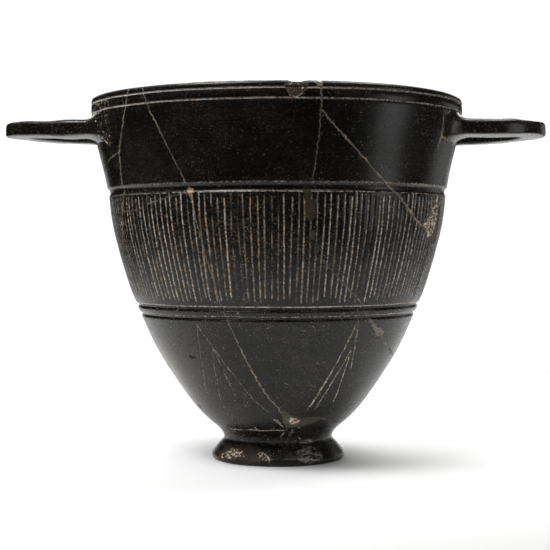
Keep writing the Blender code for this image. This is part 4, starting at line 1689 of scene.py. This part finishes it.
    def _reach(self, profile: Profile, start: Array, way: Array) -> Array:
        """Distance along a level direction from points to the wall."""
        radius = profile.radius(np.minimum(start[:, 2], self.highest_wall))
        along = start[:, :2] @ way[:2]
        beyond = np.maximum(along**2 - (start[:, :2] ** 2).sum(1) + radius**2, 0.0)
        return -along - np.sqrt(beyond)

    def _faces(self, count: int) -> Array:
        """Triangles around the sweep, closed by a fan at each end."""
        size = self.corners
        made: list[tuple[int, int, int]] = []
        for i in range(count - 1):
            for j in range(size):
                after = (j + 1) % size
                a, b = i * size + j, i * size + after
                c, d = a + size, b + size
                made += [(a, b, d), (a, d, c)]
        start, end = count * size, count * size + 1
        for j in range(size):
            after = (j + 1) % size
            made.append((start, after, j))
            made.append((end, (count - 1) * size + j, (count - 1) * size + after))
        faces = np.array(made, dtype=np.int64)
        return faces[:, ::-1] if self.side > 0 else faces

    def _settle(self, skin: Skin, profile: Profile, worn: WornSurface) -> None:
        """Adds the hand-made unevenness, and the marks that cross the roots.

        Args:
            skin: The handle, changed in place.
            profile: The outer wall.
            worn: The marks.
        """
        away = skin.radii() - profile.radius(skin.points[:, 2])
        free = ease(away, 0.5, 5.0)
        uneven = swell(skin.points, 16.0, self.seed) * 0.16 + swell(skin.points, 6.0, 8) * 0.05
        skin.points += skin.normals() * (uneven * free)[:, None]
        marked = away < self.marked_reach
        skin.values["course"] = np.where(marked, skin.points[:, 2], self.free_course)
        worn.refine(skin, lambda _: None)
        away = skin.radii() - profile.radius(skin.points[:, 2])
        worn.apply(skin, 1.0 - ease(away, 0.5, 5.0))
        del skin.values["course"]
        for name in (*LINE_RECORDS, "on_wall"):
            skin.values[name] = np.zeros(len(skin.points))


@dataclass(frozen=True)
class Softbox:
    """One studio light: a soft rectangle that looks at a point, hidden from the camera."""

    name: str
    place: tuple[float, float, float]
    aim: tuple[float, float, float]
    width: float
    height: float
    power: float
    spread: float = 180.0

    def build(self) -> bpy.types.Object:
        """Makes the light."""
        light = bpy.data.lights.new(self.name, "AREA")
        light.shape = "RECTANGLE"
        light.size, light.size_y = self.width, self.height
        light.energy = self.power
        light.spread = math.radians(self.spread)
        made = bpy.data.objects.new(self.name, light)
        made.location = self.place
        look = Vector(self.aim) - Vector(self.place)
        made.rotation_euler = look.to_track_quat("-Z", "Y").to_euler()
        made.visible_camera = False
        bpy.context.scene.collection.objects.link(made)
        return made


@dataclass(frozen=True)
class Studio:
    """Round white table, dark room with a white backdrop, and the lights."""

    table_middle: float = 0.13
    table_radius: float = 0.33
    table_corners: int = 96
    room: float = 0.0
    backdrop: float = 1.15
    # The powers began as a least-squares fit to the photograph by a separate program and were
    # then changed by hand; horizon_back was added by hand.
    lights: tuple[Softbox, ...] = (
        Softbox("key_left", (-0.30, -0.35, 0.80), (-0.03, 0.0, 0.0), 0.40, 0.40, 0.42, 50.0),
        Softbox("key_high", (-0.50, 0.10, 0.70), (-0.03, 0.0, 0.0), 0.45, 0.45, 0.06, 60.0),
        Softbox("pool_left", (-0.40, -0.25, 0.70), (-0.12, -0.07, 0.0), 0.25, 0.25, 0.220, 34.0),
        Softbox("top_right", (0.35, 0.10, 0.85), (0.0, 0.0, 0.0), 0.30, 0.30, 0.50, 60.0),
        Softbox("top_front", (0.30, -0.45, 0.85), (0.05, -0.10, 0.0), 0.40, 0.40, 0.165, 60.0),
        Softbox("top_back", (0.0, 0.45, 0.95), (0.0, 0.32, 0.0), 0.40, 0.40, 1.03, 60.0),
        Softbox("sky_back", (0.0, 1.20, 0.80), (0.0, 0.20, 0.0), 1.50, 0.80, 10.5),
        Softbox("horizon_back", (0.0, 1.20, -0.05), (0.0, 0.0, 0.07), 1.30, 0.40, 1.80),
        Softbox("card_right", (0.350, -0.148, 0.10), (0.0, 0.0, 0.1), 0.12, 0.20, 0.064, 120.0),
        Softbox("card_back", (0.35, 0.245, 0.10), (0.0, 0.0, 0.1), 0.20, 0.20, 0.026, 120.0),
    )

    def build(self) -> bpy.types.Object:
        """Makes the table, the lights and the world.

        Returns:
            The table.
        """
        for light in self.lights:
            light.build()
        mesh = bpy.data.meshes.new("table")
        turns = [math.tau * i / self.table_corners for i in range(self.table_corners)]
        edge = [Vector((math.cos(turn), math.sin(turn), 0.0)) * self.table_radius for turn in turns]
        middle = Vector((0.0, self.table_middle, 0.0))
        mesh.from_pydata([middle + out for out in edge], [], [tuple(range(self.table_corners))])
        mesh.materials.append(PaleFloor().build())
        floor = bpy.data.objects.new("table", mesh)
        bpy.context.scene.collection.objects.link(floor)

        world = bpy.data.worlds.new("studio")
        world.use_nodes = True
        graph = Graph(world.node_tree)
        background = world.node_tree.nodes["Background"]
        seen = graph.make("ShaderNodeLightPath", None, None, output="Is Camera Ray")
        graph.feed(background.inputs["Strength"], (self.backdrop - self.room) * seen + self.room)
        background.inputs["Color"].default_value = (1.0, 1.0, 1.0, 1.0)
        bpy.context.scene.world = world
        bpy.context.scene.view_settings.view_transform = "Standard"
        return floor


@dataclass(frozen=True)
class PhotoCamera:
    """The camera of the reference photo, placed by a separate least-squares fit to it."""

    place: tuple[float, float, float] = (-0.00114, -0.5848, 0.0943)
    pitch: float = -1.406
    roll: float = -0.160
    lens: float = 87.03
    sensor: float = 36.0

    def build(self) -> bpy.types.Object:
        """Makes the camera and hands it to the scene."""
        data = bpy.data.cameras.new("photo_camera")
        data.lens = self.lens
        data.sensor_width = self.sensor
        data.clip_start, data.clip_end = 0.01, 20.0
        camera = bpy.data.objects.new("photo_camera", data)
        camera.location = self.place
        turn = Matrix.Rotation(math.radians(90.0 + self.pitch), 3, "X")
        camera.rotation_euler = (turn @ Matrix.Rotation(math.radians(self.roll), 3, "Z")).to_euler()
        bpy.context.scene.collection.objects.link(camera)
        bpy.context.scene.camera = camera
        return camera


# The plans repeat, rounded, what a separate least-squares fit to the photograph gave.
HANDLES: tuple[LoopHandle, ...] = (
    LoopHandle("left_handle", -1, 117.6, 10.4, 9.7, 2.9, 4.7, 142.3, seed=41),
    LoopHandle("right_handle", 1, 116.1, 24.7, -2.3, 2.16, 4.4, 141.9, seed=42),
)


def corners() -> list[list[float]]:
    """Lowest and highest corner of what is shown, as plain lists."""
    return [list(corner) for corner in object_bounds()]


def main() -> None:
    """Builds the cup and the studio, and reports every piece."""
    logging.basicConfig(level=logging.INFO, format="%(name)s: %(message)s")
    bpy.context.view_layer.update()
    clay = BurnishedClay().build()
    profile = Profile(OUTER_STATIONS)
    worn = WornSurface()
    pieces = [CupBody().build(profile, worn, clay)]
    pieces += [handle.build(profile, worn, clay) for handle in HANDLES]
    for piece in pieces:
        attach(piece, BODY)
        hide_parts(NODE)
        LOG.info("%s: %d triangles", piece.name, len(piece.data.polygons))
    Studio().build()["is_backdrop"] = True
    camera = PhotoCamera().build()
    LOG.info("camera %s with a %.1f mm lens", camera.name, camera.data.lens)


if __name__ == "__main__":
    main()
